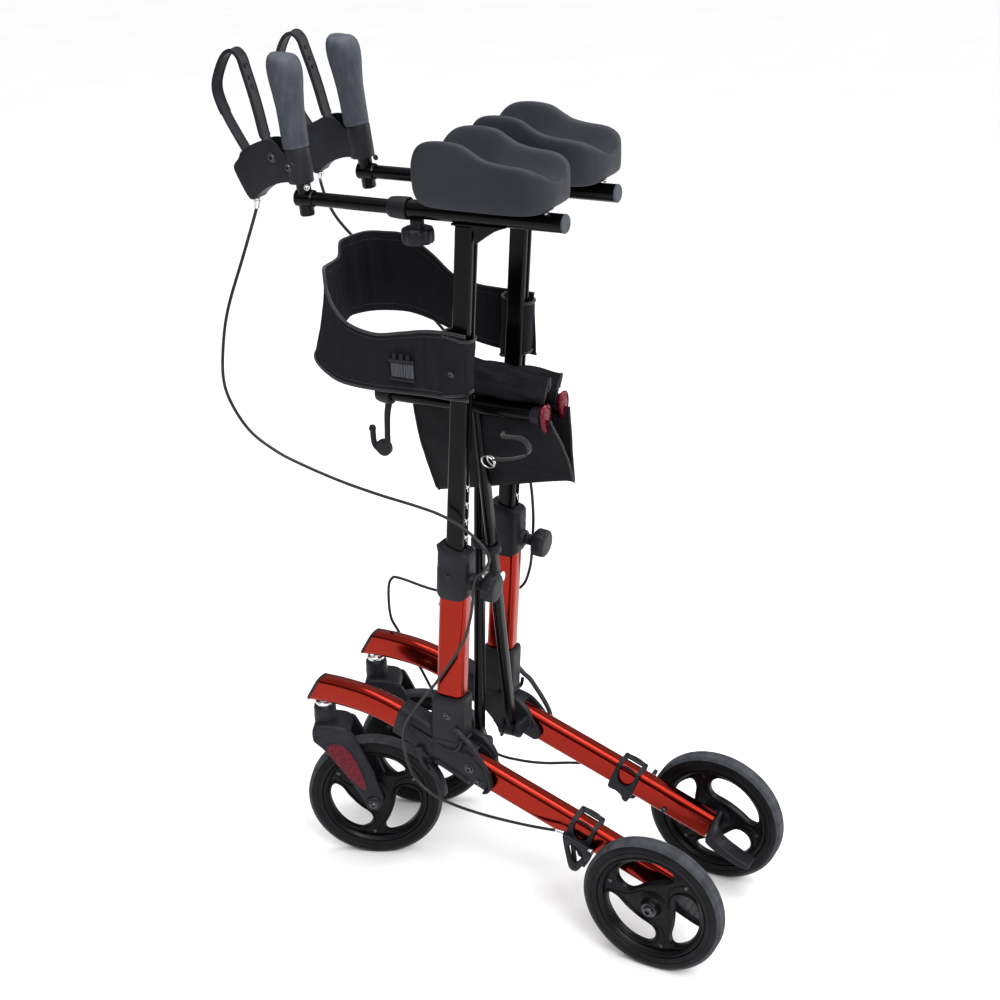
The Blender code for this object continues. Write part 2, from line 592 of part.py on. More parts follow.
    # front caster: stem, fork and wheel, turned a little out of line
    swivel = pivot(f"caster_axis_{side}", (s * CASTER_X, CASTER_Y, 0.0), CASTER_TURN)
    fork = rod(f"caster_fork_{side}", 0.0160, (0, 0, 0.2100), (0, 0, 0.2470), PLASTIC, 24)
    crown = plate("crown", [(-0.0180, 0.2260), (-0.0185, 0.2070), (-0.0090, 0.1965),
                            (0.0040, 0.1940), (0.0200, 0.2010), (0.0350, 0.2080), (0.0380, 0.2200),
                            (0.0280, 0.2310), (-0.0110, 0.2330)], 0.0520, 0.0)
    stem = rod("stem", 0.0095, (0, 0, 0.2300), (0, 0, 0.2720), sides=20)
    join(fork, crown, stem)
    for dx in (-0.0225, 0.0225):
        arm_plate = plate("fork_arm", [
            (-0.0160, 0.2150), (-0.0180, 0.2073), (-0.0060, 0.1960), (-0.0024, 0.1915),
            (0.0333, 0.1366), (0.0499, 0.1029), (0.0560, 0.0930), (0.0645, 0.0895),
            (0.0735, 0.0930), (0.0790, 0.1030), (0.0779, 0.1169), (0.0680, 0.1500),
            (0.0560, 0.1838), (0.0440, 0.2130), (0.0360, 0.2270)], 0.0080, dx)
        join(fork, arm_plate)
    axle_pin = rod("wheel_pin", 0.0040, (-0.0290, CASTER_TRAIL, WHEEL_R), (0.0290, CASTER_TRAIL, WHEEL_R),
                   sides=16)
    join(fork, axle_pin)
    leaf = [(0.0030, 0.2000), (0.0150, 0.2040), (0.0300, 0.1985), (0.0420, 0.1790),
            (0.0510, 0.1540), (0.0560, 0.1260), (0.0515, 0.1230), (0.0330, 0.1430),
            (0.0120, 0.1740), (0.0020, 0.1920)]
    cut(fork, plate("lens_pocket", swell(leaf, 0.0004), 0.0060, s * 0.0275))
    hang(smooth(settle(fork), 40), swivel)
    hang(smooth(plate(f"fork_reflector_{side}", leaf, 0.0026, s * 0.0262, LENS)), swivel)
    wheel(f"front_wheel_{side}", (0, CASTER_TRAIL, WHEEL_R), 44, -0.0180, 0.0180, 0.0044, swivel)

    return x


# ---- brake cables -----------------------------------------------------------
def build_cables():
    left = [(0.0735, -0.3069, 1.0066), (0.0740, -0.3095, 0.9930), (0.0840, -0.3300, 0.9330),
            (0.1060, -0.3480, 0.8640), (0.1180, -0.3540, 0.8150), (0.1250, -0.3545, 0.7680),
            (0.1240, -0.3450, 0.7320), (0.1170, -0.3250, 0.6950), (0.1100, -0.2930, 0.6700),
            (0.1040, -0.2590, 0.6540), (0.1000, -0.1990, 0.6370), (0.1000, -0.1370, 0.6270),
            (0.1000, -0.0850, 0.6210), (0.0980, -0.0500, 0.6140), (0.0960, -0.0200, 0.6020),
            (0.0930, 0.0060, 0.5820), (0.0915, 0.0190, 0.5600), (0.0905, 0.0100, 0.5400),
            (0.0905, -0.0020, 0.5280), (0.0910, -0.0070, 0.5120), (0.0920, -0.0090, 0.4920),
            (0.0950, -0.0120, 0.4680), (0.0975, -0.0210, 0.4360), (0.0980, -0.0410, 0.4000),
            (0.0980, -0.0710, 0.3550),
            (0.1000, -0.1080, 0.3040), (0.1010, -0.1270, 0.2680), (0.1010, -0.1280, 0.2280),
            (0.1000, -0.1170, 0.1940), (0.0990, -0.0920, 0.1710), (0.0980, -0.0600, 0.1610),
            (0.0975, -0.0200, 0.1570), (0.0970, 0.0200, 0.1565), (0.0965, 0.0600, 0.1580),
            (0.0958, 0.0880, 0.1600), (0.0955, 0.1060, 0.1620)]
    right = [(-0.0735, -0.3069, 1.0066), (-0.0740, -0.3080, 0.9900), (-0.0800, -0.3000, 0.9550),
             (-0.0900, -0.2800, 0.9200), (-0.1120, -0.2300, 0.8600), (-0.1180, -0.1500, 0.7800),
             (-0.1120, -0.0800, 0.7000), (-0.1040, -0.0300, 0.6300), (-0.1000, -0.0180, 0.5890),
             (-0.0980, -0.0140, 0.5400), (-0.0960, -0.0160, 0.4940), (-0.0970, -0.0230, 0.4480),
             (-0.1000, -0.0420, 0.4130), (-0.1020, -0.0900, 0.3900), (-0.1020, -0.1400, 0.3810),
             (-0.1010, -0.1900, 0.3800), (-0.1000, -0.2450, 0.3880), (-0.0985, -0.2590, 0.3850),
             (-0.0970, -0.2650, 0.3660), (-0.0970, -0.2650, 0.3220), (-0.0980, -0.2530, 0.2960),
             (-0.0975, -0.2180, 0.2400), (-0.0940, -0.1850, 0.1880), (-0.0970, -0.1450, 0.1450),
             (-0.1000, -0.0950, 0.1190), (-0.0990, -0.0540, 0.1180), (-0.0980, -0.0110, 0.1250),
             (-0.0970, 0.0300, 0.1370), (-0.0960, 0.0750, 0.1490), (-0.0955, 0.1060, 0.1620)]
    wire("brake_cable_left", spline_through(left, 2), 0.0021, CABLE, 1)
    wire("brake_cable_right", spline_through(right, 2), 0.0021, CABLE, 1)


# ---- cross brace, seat and backrest -----------------------------------------
def build_middle():
    oval = rounded(0.019, 0.013, 0.006, 3)

    def brace(name, s, y):
        foot, top = Vector((s * FOOT_X, y, FOOT_Z)), Vector((-s * FOOT_X, y, SEAT_Z))
        run = (top - foot).normalized()
        side = Vector((run.z, 0, -run.x))
        rings = [[tuple(foot + run * t + side * u + Vector((0, v, 0))) for u, v in oval]
                 for t in (0.0, (top - foot).length)]
        tube = loft(name, rings, BLACK)
        join(tube, rod("eye", 0.0115, (s * FOOT_X, y - 0.0065, FOOT_Z), (s * FOOT_X, y + 0.0065, FOOT_Z)),
             rod("seat_rail", 0.0095, (-s * FOOT_X, -0.1660, SEAT_Z), (-s * FOOT_X, 0.0720, SEAT_Z)))
        cut(tube, rod("cross_bore", 0.0047, (0, y - 0.02, CROSS_Z), (0, y + 0.02, CROSS_Z), sides=16))
        if s > 0:
            cut(tube, rod("foot_bore", 0.0049, (s * FOOT_X, y - 0.02, FOOT_Z),
                          (s * FOOT_X, y + 0.02, FOOT_Z), sides=16))
        return smooth(settle(tube), 40)

    origin_at(brace("brace_a", 1, BRACE_A_Y), (FOOT_X, BRACE_A_Y, FOOT_Z))
    origin_at(brace("brace_b", -1, BRACE_B_Y), (0, BRACE_B_Y, CROSS_Z))
    bolt = rod("cross_bolt", 0.0043, (0, -0.0610, CROSS_Z), (0, -0.0130, CROSS_Z), STEEL, 16)
    join(bolt, rod("head", 0.0080, (0, -0.0610, CROSS_Z), (0, -0.0560, CROSS_Z), sides=6),
         rod("nut", 0.0080, (0, -0.0180, CROSS_Z), (0, -0.0130, CROSS_Z), sides=6),
         rod("spacer", 0.0080, (0, -0.0415, CROSS_Z), (0, -0.0325, CROSS_Z)))
    smooth(settle(bolt))

    # reflectors that close the seat rails' rear ends
    for name, s in (("seat_reflector_left", 1), ("seat_reflector_right", -1)):
        outline = [(s * FOOT_X + u, SEAT_Z + v) for u, v in
                   ((-0.013, 0.010), (-0.008, 0.016), (0.008, 0.016), (0.013, 0.010),
                    (0.013, 0.0), (0.008, -0.018), (0.003, -0.028), (-0.003, -0.028),
                    (-0.008, -0.018), (-0.013, 0.0))]
        smooth(loft(name, [[(u, y, v) for u, v in outline] for y in (0.0723, 0.0790)], LENS))

    # hook under the left seat rail's front end
    hook = wire("cane_hook", spline_through([
        (FOOT_X, -0.1600, 0.7290), (FOOT_X, -0.1640, 0.7100), (FOOT_X, -0.1660, 0.6850),
        (FOOT_X, -0.1680, 0.6640), (FOOT_X, -0.1780, 0.6560), (FOOT_X, -0.1880, 0.6640),
        (FOOT_X, -0.1895, 0.6850)], 3), 0.0035, PLASTIC)
    join(hook, rod("hook_clip", 0.0140, (FOOT_X, -0.1640, SEAT_Z), (FOOT_X, -0.1530, SEAT_Z)),
         rod("hook_pad", 0.0100, (FOOT_X - 0.004, -0.1720, 0.6590), (FOOT_X + 0.004, -0.1720, 0.6590)))
    cut(hook, rod("clip_bore", 0.0098, (FOOT_X, -0.18, SEAT_Z), (FOOT_X, -0.14, SEAT_Z)))
    smooth(settle(hook), 40)

    # folded seat: a plain closed form that hangs between the two rails
    def seat_ring(y, low_y, low, high):
        half = [(0.0140, high), (0.0280, high - 0.010), (0.0330, SEAT_Z + 0.030),
                (0.0270, SEAT_Z + 0.0130), (0.0130, SEAT_Z + 0.0110), (0.0035, SEAT_Z - 0.010),
                (0.0014, low + 0.004)]
        left = [(u, y if v > SEAT_Z - 0.02 else low_y, v) for u, v in half]
        right = [(-u, w, v) for u, w, v in reversed(left)]
        return left + [(0.0, low_y, low)] + right + [(0.0, y, high - 0.006)]

    seat = loft("seat_fabric", [
        seat_ring(-0.1200, -0.1180, 0.6600, 0.7700), seat_ring(-0.1100, -0.1050, 0.5990, 0.7900),
        seat_ring(-0.0600, -0.0600, 0.6100, 0.8010), seat_ring(-0.0100, -0.0100, 0.6230, 0.8010),
        seat_ring(0.0300, 0.0400, 0.6380, 0.8000), seat_ring(0.0600, 0.0880, 0.6440, 0.7960),
        seat_ring(0.0718, 0.0990, 0.6600, 0.7920)], WEB)
    smooth(seat, 50)

    # backrest band from post to post round the front
    # x, y, lower edge, upper edge and how far the band leans out at its foot
    table = [(0.0735, 0.0085, 0.7775, 0.8620, 0.000), (0.0925, 0.0080, 0.7775, 0.8620, 0.000),
             (0.0950, -0.0100, 0.7775, 0.8635, 0.000), (0.0955, -0.0300, 0.7775, 0.8650, 0.000),
             (0.0955, -0.0600, 0.7780, 0.8625, 0.001), (0.0950, -0.0900, 0.7775, 0.8565, 0.002),
             (0.0935, -0.1360, 0.7765, 0.8480, 0.005), (0.0880, -0.1830, 0.7790, 0.8540, 0.009),
             (0.0770, -0.2130, 0.7870, 0.8690, 0.011), (0.0610, -0.2340, 0.7950, 0.8850, 0.011),
             (0.0470, -0.2430, 0.8000, 0.9020, 0.009), (0.0300, -0.2480, 0.8030, 0.9060, 0.004),
             (0.0080, -0.2520, 0.8050, 0.9040, 0.000), (-0.0200, -0.2570, 0.8080, 0.9030, 0.000),
             (-0.0320, -0.2600, 0.8100, 0.9060, 0.000), (-0.0390, -0.2615, 0.8120, 0.9200, 0.000),
             (-0.0520, -0.2600, 0.8160, 0.9230, 0.000), (-0.0740, -0.2440, 0.8170, 0.9270, 0.000),
             (-0.0870, -0.2200, 0.8170, 0.9260, 0.000), (-0.0920, -0.1900, 0.8160, 0.9230, 0.000),
             (-0.0940, -0.1550, 0.8080, 0.9020, 0.000), (-0.0950, -0.1200, 0.7950, 0.8740, 0.000),
             (-0.0955, -0.0850, 0.7845, 0.8640, 0.000), (-0.0955, -0.0500, 0.7790, 0.8620, 0.000),
             (-0.0950, -0.0100, 0.7775, 0.8620, 0.000), (-0.0925, 0.0080, 0.7775, 0.8620, 0.000),
             (-0.0735, 0.0085, 0.7775, 0.8620, 0.000)]
    line = spline_through([row[:2] + (row[4],) for row in table], 2)
    edges = spline_through([row[2:4] + (0.0,) for row in table], 2)
    n = len(line) - 1
    bm = bmesh.new()
    bmesh.ops.create_grid(bm, x_segments=n, y_segments=2, size=0.5)
    for v in bm.verts:
        k = round((v.co.x + 0.5) * n)
        p, t = line[k], v.co.y + 0.5
        ahead, behind = line[min(k + 1, n)], line[max(k - 1, 0)]
        out = Vector((behind.y - ahead.y, ahead.x - behind.x, 0.0)).normalized()
        flat = Vector((p.x, p.y, edges[k].x + t * (edges[k].y - edges[k].x)))
        v.co = flat + out * p.z * (1 - 2 * t)
    band = from_bmesh("backrest_band", bm, WEB)
    thick = band.modifiers.new("thickness", "SOLIDIFY")
    thick.thickness = 0.004
    thick.offset = 0.0
    smooth(band, 60)


build_side(1, "left")
build_side(-1, "right")
build_cables()
build_middle()
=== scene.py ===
"""Upright forearm walker, folded: the looks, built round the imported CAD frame."""
from functools import partial
from math import cos, pi, radians, sin, tau

import bpy
import bmesh
from mathutils import Matrix, Vector, noise


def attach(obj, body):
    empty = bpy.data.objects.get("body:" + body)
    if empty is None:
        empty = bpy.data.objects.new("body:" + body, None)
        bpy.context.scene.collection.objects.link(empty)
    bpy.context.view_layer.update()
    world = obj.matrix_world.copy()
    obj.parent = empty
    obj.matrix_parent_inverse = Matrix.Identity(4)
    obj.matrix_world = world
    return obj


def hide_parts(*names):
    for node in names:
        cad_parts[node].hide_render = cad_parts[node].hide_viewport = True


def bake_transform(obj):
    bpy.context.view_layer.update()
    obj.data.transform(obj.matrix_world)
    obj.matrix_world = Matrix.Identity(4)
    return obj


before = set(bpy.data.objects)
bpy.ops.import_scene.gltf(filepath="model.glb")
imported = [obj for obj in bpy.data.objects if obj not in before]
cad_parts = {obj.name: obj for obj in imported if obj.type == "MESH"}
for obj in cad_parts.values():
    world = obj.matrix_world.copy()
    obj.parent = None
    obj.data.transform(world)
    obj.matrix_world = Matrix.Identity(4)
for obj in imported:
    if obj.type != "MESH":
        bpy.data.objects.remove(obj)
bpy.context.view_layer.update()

ORIGIN, X_AXIS, Y_AXIS, Z_AXIS = (0, 0, 0), (1, 0, 0), (0, 1, 0), (0, 0, 1)


def mm(*rows):
    """Rows of millimetres as metres."""
    return [tuple(v / 1000 for v in row) for row in rows]


def both(half):
    """A profile and its mirror image, for a turned piece that is the same at both ends."""
    return half + [(r, -h) for r, h in reversed(half)]


def polar(r, angle):
    return r * cos(angle), r * sin(angle)


# ---- sizes shared with the CAD, in metres ------------------------------------
FRAME_X = 0.0735
LEAN, POST_Z, POST_Y = 0.092, 0.335, -0.06
TUBE_H, TUBE_W = 0.041, 0.025
WHEEL_R = 0.1
REAR_AXLE = (0.1135, 0.2575, WHEEL_R)
CASTER_X, CASTER_Y, CASTER_TRAIL = 0.0715, -0.2805, 0.0645
CASTER_TURN = radians(24.3)
RAIL_Z, RAIL_R = 1.0125, 0.0115
HANDLE_Y, HANDLE_Z, HANDLE_LEAN = -0.231, 0.992, -0.065
RIGHT_TURN = radians(4.5)
FOOT_X, FOOT_Z, SEAT_Z = 0.026, 0.225, 0.742
CROSS_Z = (FOOT_Z + SEAT_Z) / 2
BRACE_A_Y, BRACE_B_Y = -0.049, -0.025
BASE_LINE = mm((-330, 280), (-292, 284.5), (-259, 286.5), (-231, 286), (-204, 284), (-176, 278.5),
    (-148, 270), (-118, 259), (-88, 246.5), (-59, 233), (-35, 222), (1, 207), (117, 165.5), (266, 109.7))
BACK = Vector((0, 1, -LEAN)).normalized()
UP_POST = Vector((0, LEAN, 1)).normalized()
UP_HANDLE = Vector((0, HANDLE_LEAN, 1)).normalized()


def post_y(z):
    return POST_Y + LEAN * (z - POST_Z)


# ---- camera, light and floor -------------------------------------------------
def aim_camera():
    az, el, roll = (radians(a) for a in (119.127, 24.403, -2.69))
    back = Vector((sin(az) * cos(el), -cos(az) * cos(el), sin(el)))
    right = (-back).cross(Vector((0, 0, 1))).normalized()
    up = right.cross(-back)
    x = cos(roll) * right + sin(roll) * up
    y = -sin(roll) * right + cos(roll) * up
    data = bpy.data.cameras.new("camera")
    data.lens, data.sensor_width = 62.69, 36.0
    data.clip_start = 0.05
    cam = bpy.data.objects.new("camera", data)
    bpy.context.scene.collection.objects.link(cam)
    here = (1.8595, 1.0244, 1.5654)
    cam.matrix_world = Matrix(((x.x, y.x, back.x, here[0]), (x.y, y.y, back.y, here[1]),
        (x.z, y.z, back.z, here[2]), (0, 0, 0, 1)))
    bpy.context.scene.camera = cam


def lamp(kind, name, facing, power, place=(0, 0, 0), size=None, spread=0):
    """A lamp at `place` whose back points along `facing`."""
    data = bpy.data.lights.new(name, kind)
    data.energy = power
    if kind == "AREA":
        data.shape, data.size, data.size_y = "RECTANGLE", *size
    else:
        data.angle = radians(spread)
    obj = bpy.data.objects.new(name, data)
    bpy.context.scene.collection.objects.link(obj)
    obj.location = place
    obj.rotation_mode = "QUATERNION"
    obj.rotation_quaternion = facing.to_track_quat("Z", "Y")


aim_camera()
for title, spot, target_z, spans, watts in (("key", (1.7, 2.2, 2.6), 0.5, (0.9, 1.4), 34), ("top",
        (-0.2, -0.1, 2.9), 0.4, (1.6, 1.6), 26), ("rim", (-2.0, 1.5, 1.8), 0.6, (0.5, 2.0), 26)):
    lamp("AREA", title, Vector(spot) - Vector((0, 0, target_z)), watts, spot, spans)
lamp("SUN", "overhead", Vector((0.16, 0.22, 1.0)), 1.05, spread=60)
lamp("SUN", "slant", Vector((0.75, 0.85, 1.1)), 0.75, spread=40)

# studio sky: bright overhead, darker at the horizon so that the tubes pick up a dark line
world = bpy.data.worlds.new("studio")
bpy.context.scene.world = world
world.use_nodes = True
sky = world.node_tree
around = sky.nodes.new("ShaderNodeTexCoord")
parts = sky.nodes.new("ShaderNodeSeparateXYZ")
band = sky.nodes.new("ShaderNodeValToRGB")
for pos, level in ((0.02, 0.05), (0.24, 0.1), (0.36, 0.62), (0.6, 1.0)):
    stop = band.color_ramp.elements.new(pos)
    stop.color = (level, level, level, 1.0)
band.color_ramp.elements.remove(band.color_ramp.elements[0])
band.color_ramp.elements[-1].color = (0.85, 0.85, 0.85, 1.0)
sky.links.new(around.outputs["Generated"], parts.inputs[0])
sky.links.new(parts.outputs["Z"], band.inputs["Fac"])
sky.links.new(band.outputs["Color"], sky.nodes["Background"].inputs[0])
sky.nodes["Background"].inputs[1].default_value = 0.6
bpy.context.scene.view_settings.view_transform = "Standard"
bpy.context.scene.view_settings.look = "Medium High Contrast"


# ---- materials ---------------------------------------------------------------
class Finish:
    """A Principled material with helpers for the procedural nodes that feed it."""

    def __init__(self, name, colour, roughness, metallic=0.0, **sockets):
        self.mat = bpy.data.materials.new(name)
        self.mat.use_nodes = True
        self.tree = self.mat.node_tree
        self.shader = self.tree.nodes["Principled BSDF"]
        self.shader.inputs["Base Color"].default_value = (*colour, 1.0)
        self.shader.inputs["Roughness"].default_value = roughness
        self.shader.inputs["Metallic"].default_value = metallic
        for key, value in sockets.items():
            self.shader.inputs[key.replace("_", " ")].default_value = value
        self.mat.diffuse_color = (*colour, 1.0)
        self.coords = self.tree.nodes.new("ShaderNodeTexCoord")
        self.height = None

    def add(self, kind, sockets=(), **settings):
        node = self.tree.nodes.new("ShaderNode" + kind)
        for key, value in settings.items():
            setattr(node, key, value)
        for key, value in dict(sockets).items():
            node.inputs[key].default_value = value
        return node

    def link(self, a, b):
        self.tree.links.new(a, b)

    def mapped(self, scale, rotate=(0, 0, 0)):
        node = self.add("Mapping", {"Scale": scale, "Rotation": rotate})
        self.link(self.coords.outputs["Object"], node.inputs["Vector"])
        return node.outputs["Vector"]

    def noise(self, scale, detail=3.0, stretch=(1, 1, 1)):
        node = self.add("TexNoise", {"Scale": scale, "Detail": detail})
        self.link(self.mapped(stretch), node.inputs["Vector"])
        return node.outputs["Fac"]

    def fed(self, fac):
        """A socket, or the settings of a noise."""
        return self.noise(*fac) if isinstance(fac, tuple) else fac

    def vary(self, fac, low, high, a=0.35, b=0.65):
        """Base colour between two colours."""
        fac = self.fed(fac)
        node = self.add("ValToRGB")
        node.color_ramp.elements[0].position, node.color_ramp.elements[1].position = a, b
        node.color_ramp.elements[0].color = (*low, 1.0)
        node.color_ramp.elements[1].color = (*high, 1.0)
        self.link(fac, node.inputs["Fac"])
        self.link(node.outputs["Color"], self.shader.inputs["Base Color"])
        return self

    def rough(self, fac, low, high):
        fac = self.fed(fac)
        node = self.add("MapRange", {"To Min": low, "To Max": high})
        self.link(fac, node.inputs["Value"])
        self.link(node.outputs["Result"], self.shader.inputs["Roughness"])
        return self

    def bump(self, fac, distance, strength=1.0):
        fac = self.fed(fac)
        node = self.add("Bump", {"Strength": strength, "Distance": distance})
        self.link(fac, node.inputs["Height"])
        if self.height is not None:
            self.link(self.height, node.inputs["Normal"])
        self.height = node.outputs["Normal"]
        self.link(self.height, self.shader.inputs["Normal"])
        return self

    def weave(self, pitch, rotate=(0, 0, 0)):
        """Plain weave: two crossing sets of threads, `pitch` metres apart."""
        waves = []
        for axis in ("X", "Y", "Z"):
            node = self.add("TexWave", {"Scale": 0.314 / pitch}, wave_type="BANDS", bands_direction=axis)
            self.link(self.mapped((1, 1, 1), rotate), node.inputs["Vector"])
            waves.append(node.outputs["Fac"])
        total = waves[0]
        for w in waves[1:]:
            node = self.add("Math", operation="ADD")
            self.link(total, node.inputs[0])
            self.link(w, node.inputs[1])
            total = node.outputs[0]
        return total


RED = (Finish("candy_red", (0.27, 0.014, 0.005), 0.18, 1.0, Coat_Weight=0.35, Coat_Roughness=0.04)
    .vary((1400, 2), (0.24, 0.012, 0.004), (0.3, 0.017, 0.006))
    .bump((1800, 1), 0.00002).mat)
BLACK = (Finish("black_anodised", (0.0025, 0.0022, 0.0032), 0.17, 0.0, Specular_IOR_Level=0.22)
    .rough((60, 4, (1, 1, 0.1)), 0.18, 0.3)
    .bump((2200, 1), 0.00001).mat)
PLASTIC = (Finish("moulded_plastic", (0.017, 0.0175, 0.022), 0.4, Specular_IOR_Level=0.26)
    .vary((18, 4), (0.013, 0.0135, 0.0175), (0.021, 0.0215, 0.0265))
    .rough((45, 3), 0.38, 0.56)
    .bump((2600, 2), 0.00006, 0.5).mat)
FOAM = (Finish("pad_foam", (0.028, 0.03, 0.038), 0.6, Specular_IOR_Level=0.3)
    .vary((9, 4), (0.024, 0.026, 0.033), (0.034, 0.037, 0.046), 0.3, 0.7)
    .bump((1500, 3), 0.00012, 0.5)
    .bump((120, 3), 0.0003, 0.25).mat)
GRIP = (Finish("grip_skin", (0.06, 0.065, 0.08), 0.58, Specular_IOR_Level=0.35)
    .vary((140, 5, (1, 1, 0.35)), (0.048, 0.052, 0.065), (0.072, 0.078, 0.096), 0.3, 0.7)
    .bump((900, 4), 0.00018, 0.6).mat)
TYRE = (Finish("tyre_side", (0.006, 0.0055, 0.007), 0.46, Specular_IOR_Level=0.22)
    .vary((40, 4), (0.004, 0.004, 0.005), (0.009, 0.0085, 0.011))
    .bump((900, 3), 0.00008, 0.4).mat)
TREAD = (Finish("tyre_tread", (0.045, 0.048, 0.056), 0.7, Specular_IOR_Level=0.3)
    .vary((70, 5, (0.3, 1, 1)), (0.036, 0.038, 0.044), (0.062, 0.066, 0.076))
    .bump((500, 4), 0.00015, 0.5).mat)
RIM = (Finish("wheel_plastic", (0.004, 0.0038, 0.005), 0.28, Specular_IOR_Level=0.2)
    .vary((30, 4), (0.0035, 0.0034, 0.0045), (0.008, 0.0078, 0.01))
    .rough((50, 4), 0.26, 0.44)
    .bump((1500, 2), 0.00005, 0.4).mat)
STEEL = (Finish("bright_steel", (0.7, 0.7, 0.72), 0.25, 1.0)
    .rough((400, 3, (1, 1, 0.2)), 0.18, 0.38)
    .bump((1500, 2), 0.00002).mat)
BOLT = (Finish("dark_bolt", (0.1, 0.1, 0.11), 0.35, 1.0)
    .rough((500, 3), 0.28, 0.5).mat)
JACKET = (Finish("cable_jacket", (0.014, 0.014, 0.015), 0.35)
    .rough((80, 3), 0.28, 0.46)
    .bump((900, 2), 0.00003, 0.4).mat)
lens = Finish("reflector_lens", (0.12, 0.003, 0.012), 0.2, Specular_IOR_Level=0.3)
cells = lens.add("TexVoronoi", {"Scale": 420})
lens.link(lens.mapped((0.6, 1, 1)), cells.inputs["Vector"])
lens.vary(cells.outputs["Distance"], (0.2, 0.004, 0.02), (0.05, 0.001, 0.007), 0.1, 0.8)
lens.bump(cells.outputs["Distance"], 0.0006, 0.6)
LENS = lens.mat
web = Finish("woven_band", (0.012, 0.0118, 0.015), 0.85, Specular_IOR_Level=0.15)
threads = web.weave(0.0012)
web.vary(threads, (0.01, 0.0098, 0.0125), (0.018, 0.0175, 0.022), 0.3, 2.0).bump(threads, 0.00008, 0.25)
web.bump((700, 3), 0.0003, 0.4)
WEB = web.mat
pouch = Finish("seat_mesh_fabric", (0.003, 0.003, 0.004), 0.5, Specular_IOR_Level=0.16)
holes = pouch.weave(0.0016, (0.6, 0.4, 0.0))
pouch.vary(holes, (0.0015, 0.0015, 0.002), (0.014, 0.0135, 0.017), 0.4, 2.2).bump(holes, 0.0004, 0.5)
pouch.bump((28, 4), 0.0022, 0.6)
POUCH = pouch.mat
BIND = (Finish("binding_tape", (0.014, 0.014, 0.016), 0.8, Sheen_Weight=0.25)
    .vary((500, 3), (0.009, 0.009, 0.011), (0.023, 0.023, 0.027))
    .bump((700, 3), 0.0003, 0.5).mat)
THREAD = (Finish("stitching", (0.06, 0.06, 0.07), 0.8)
    .vary((900, 2), (0.035, 0.035, 0.042), (0.085, 0.085, 0.095)).mat)
webbing = Finish("grey_webbing", (0.06, 0.065, 0.078), 0.8, Sheen_Weight=0.1)
rib = webbing.add("TexWave", {"Scale": 160}, wave_type="BANDS", bands_direction="Y")
webbing.link(webbing.mapped((1, 1, 1)), rib.inputs["Vector"])
webbing.vary(rib.outputs["Fac"], (0.025, 0.027, 0.033), (0.085, 0.09, 0.105), 0.2, 0.8)
webbing.bump(rib.outputs["Fac"], 0.0005, 0.6)
WEBBING = webbing.mat
PRINT = (Finish("scale_print", (0.8, 0.8, 0.8), 0.6)
    .vary((900, 3), (0.55, 0.55, 0.56), (0.85, 0.85, 0.85), 0.2, 0.5).mat)
FLOOR = (Finish("studio_floor", (0.9, 0.9, 0.9), 0.6)
    .vary((3, 3), (0.885, 0.885, 0.887), (0.905, 0.905, 0.905)).mat)


def add(obj, body, *nodes):
    """Give a piece its body and let it stand for CAD nodes. The right handle leans in."""
    if body in ("right_handle", "right_brake_lever"):
        pivot = Matrix.Translation((-FRAME_X, 0, RAIL_Z))
        obj.data.transform(pivot @ Matrix.Rotation(RIGHT_TURN, 4, "Y") @ pivot.inverted())
    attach(obj, body)
    if nodes:
        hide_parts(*nodes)
    return obj


def piece(body, node, kind, suffix, *shape, **more):
    """Make a piece that rides `body`, stands for the CAD's `node` and begins with its name."""
    return add(kind(f"{node}_{suffix}", *shape, **more), body, node)


def to_object(name, bm, mats, angle=35, bevel=0.0, flat=False):
    bmesh.ops.remove_doubles(bm, verts=bm.verts, dist=0.000002)
    bmesh.ops.recalc_face_normals(bm, faces=bm.faces)
    if bevel:
        sharp = [e for e in bm.edges if len(e.link_faces) == 2 and e.calc_face_angle(0.0) > radians(30)]
        bmesh.ops.bevel(bm, geom=sharp, offset=bevel, segments=3, profile=0.5, affect="EDGES",
            clamp_overlap=True)
    mesh = bpy.data.meshes.new(name)
    bm.to_mesh(mesh)
    bm.free()
    for m in (mats if isinstance(mats, (list, tuple)) else [mats]):
        mesh.materials.append(m)
    obj = bpy.data.objects.new(name, mesh)
    bpy.context.scene.collection.objects.link(obj)
    if not flat:
        mesh.shade_smooth()
        mesh.set_sharp_from_angle(angle=radians(angle))
    return obj


def basis(axis):
    z = Vector(axis).normalized()
    x = z.orthogonal().normalized() if abs(z.x) > 0.9 else Vector(X_AXIS).cross(z).normalized()
    return x, z.cross(x).normalized(), z


def lathe(name, profile, centre, axis, mats, segs=64, angle=35, flutes=0, depth=0.0, closed=False,
        paint=None):
    """Turned piece. `paint` gives each profile span's material index."""
    x, y, z = basis(axis)
    c = Vector(centre)
    bm = bmesh.new()
    rings = []
    for r, h in profile:
        if r <= 0.0:
            rings.append([bm.verts.new(c + z * h)])
            continue
        ring = []
        for k in range(segs):
            a = tau * k / segs
            rr = r - (depth * (0.5 + 0.5 * cos(flutes * a)) if flutes and r > 0.012 else 0.0)
            ring.append(bm.verts.new(c + x * (rr * cos(a)) + y * (rr * sin(a)) + z * h))
        rings.append(ring)
    spans = list(zip(rings, rings[1:])) + ([(rings[-1], rings[0])] if closed else [])
    for i, (a, b) in enumerate(spans):
        for k in range(segs):
            j = (k + 1) % segs
            if len(a) == 1 and len(b) == 1:
                break
            quad = ((a[0], b[j], b[k]) if len(a) == 1 else (a[k], a[j], b[0]) if len(b) == 1
                else (a[k], a[j], b[j], b[k]))
            f = bm.faces.new(quad)
            if paint:
                f.material_index = paint[i]
    return to_object(name, bm, mats, angle)


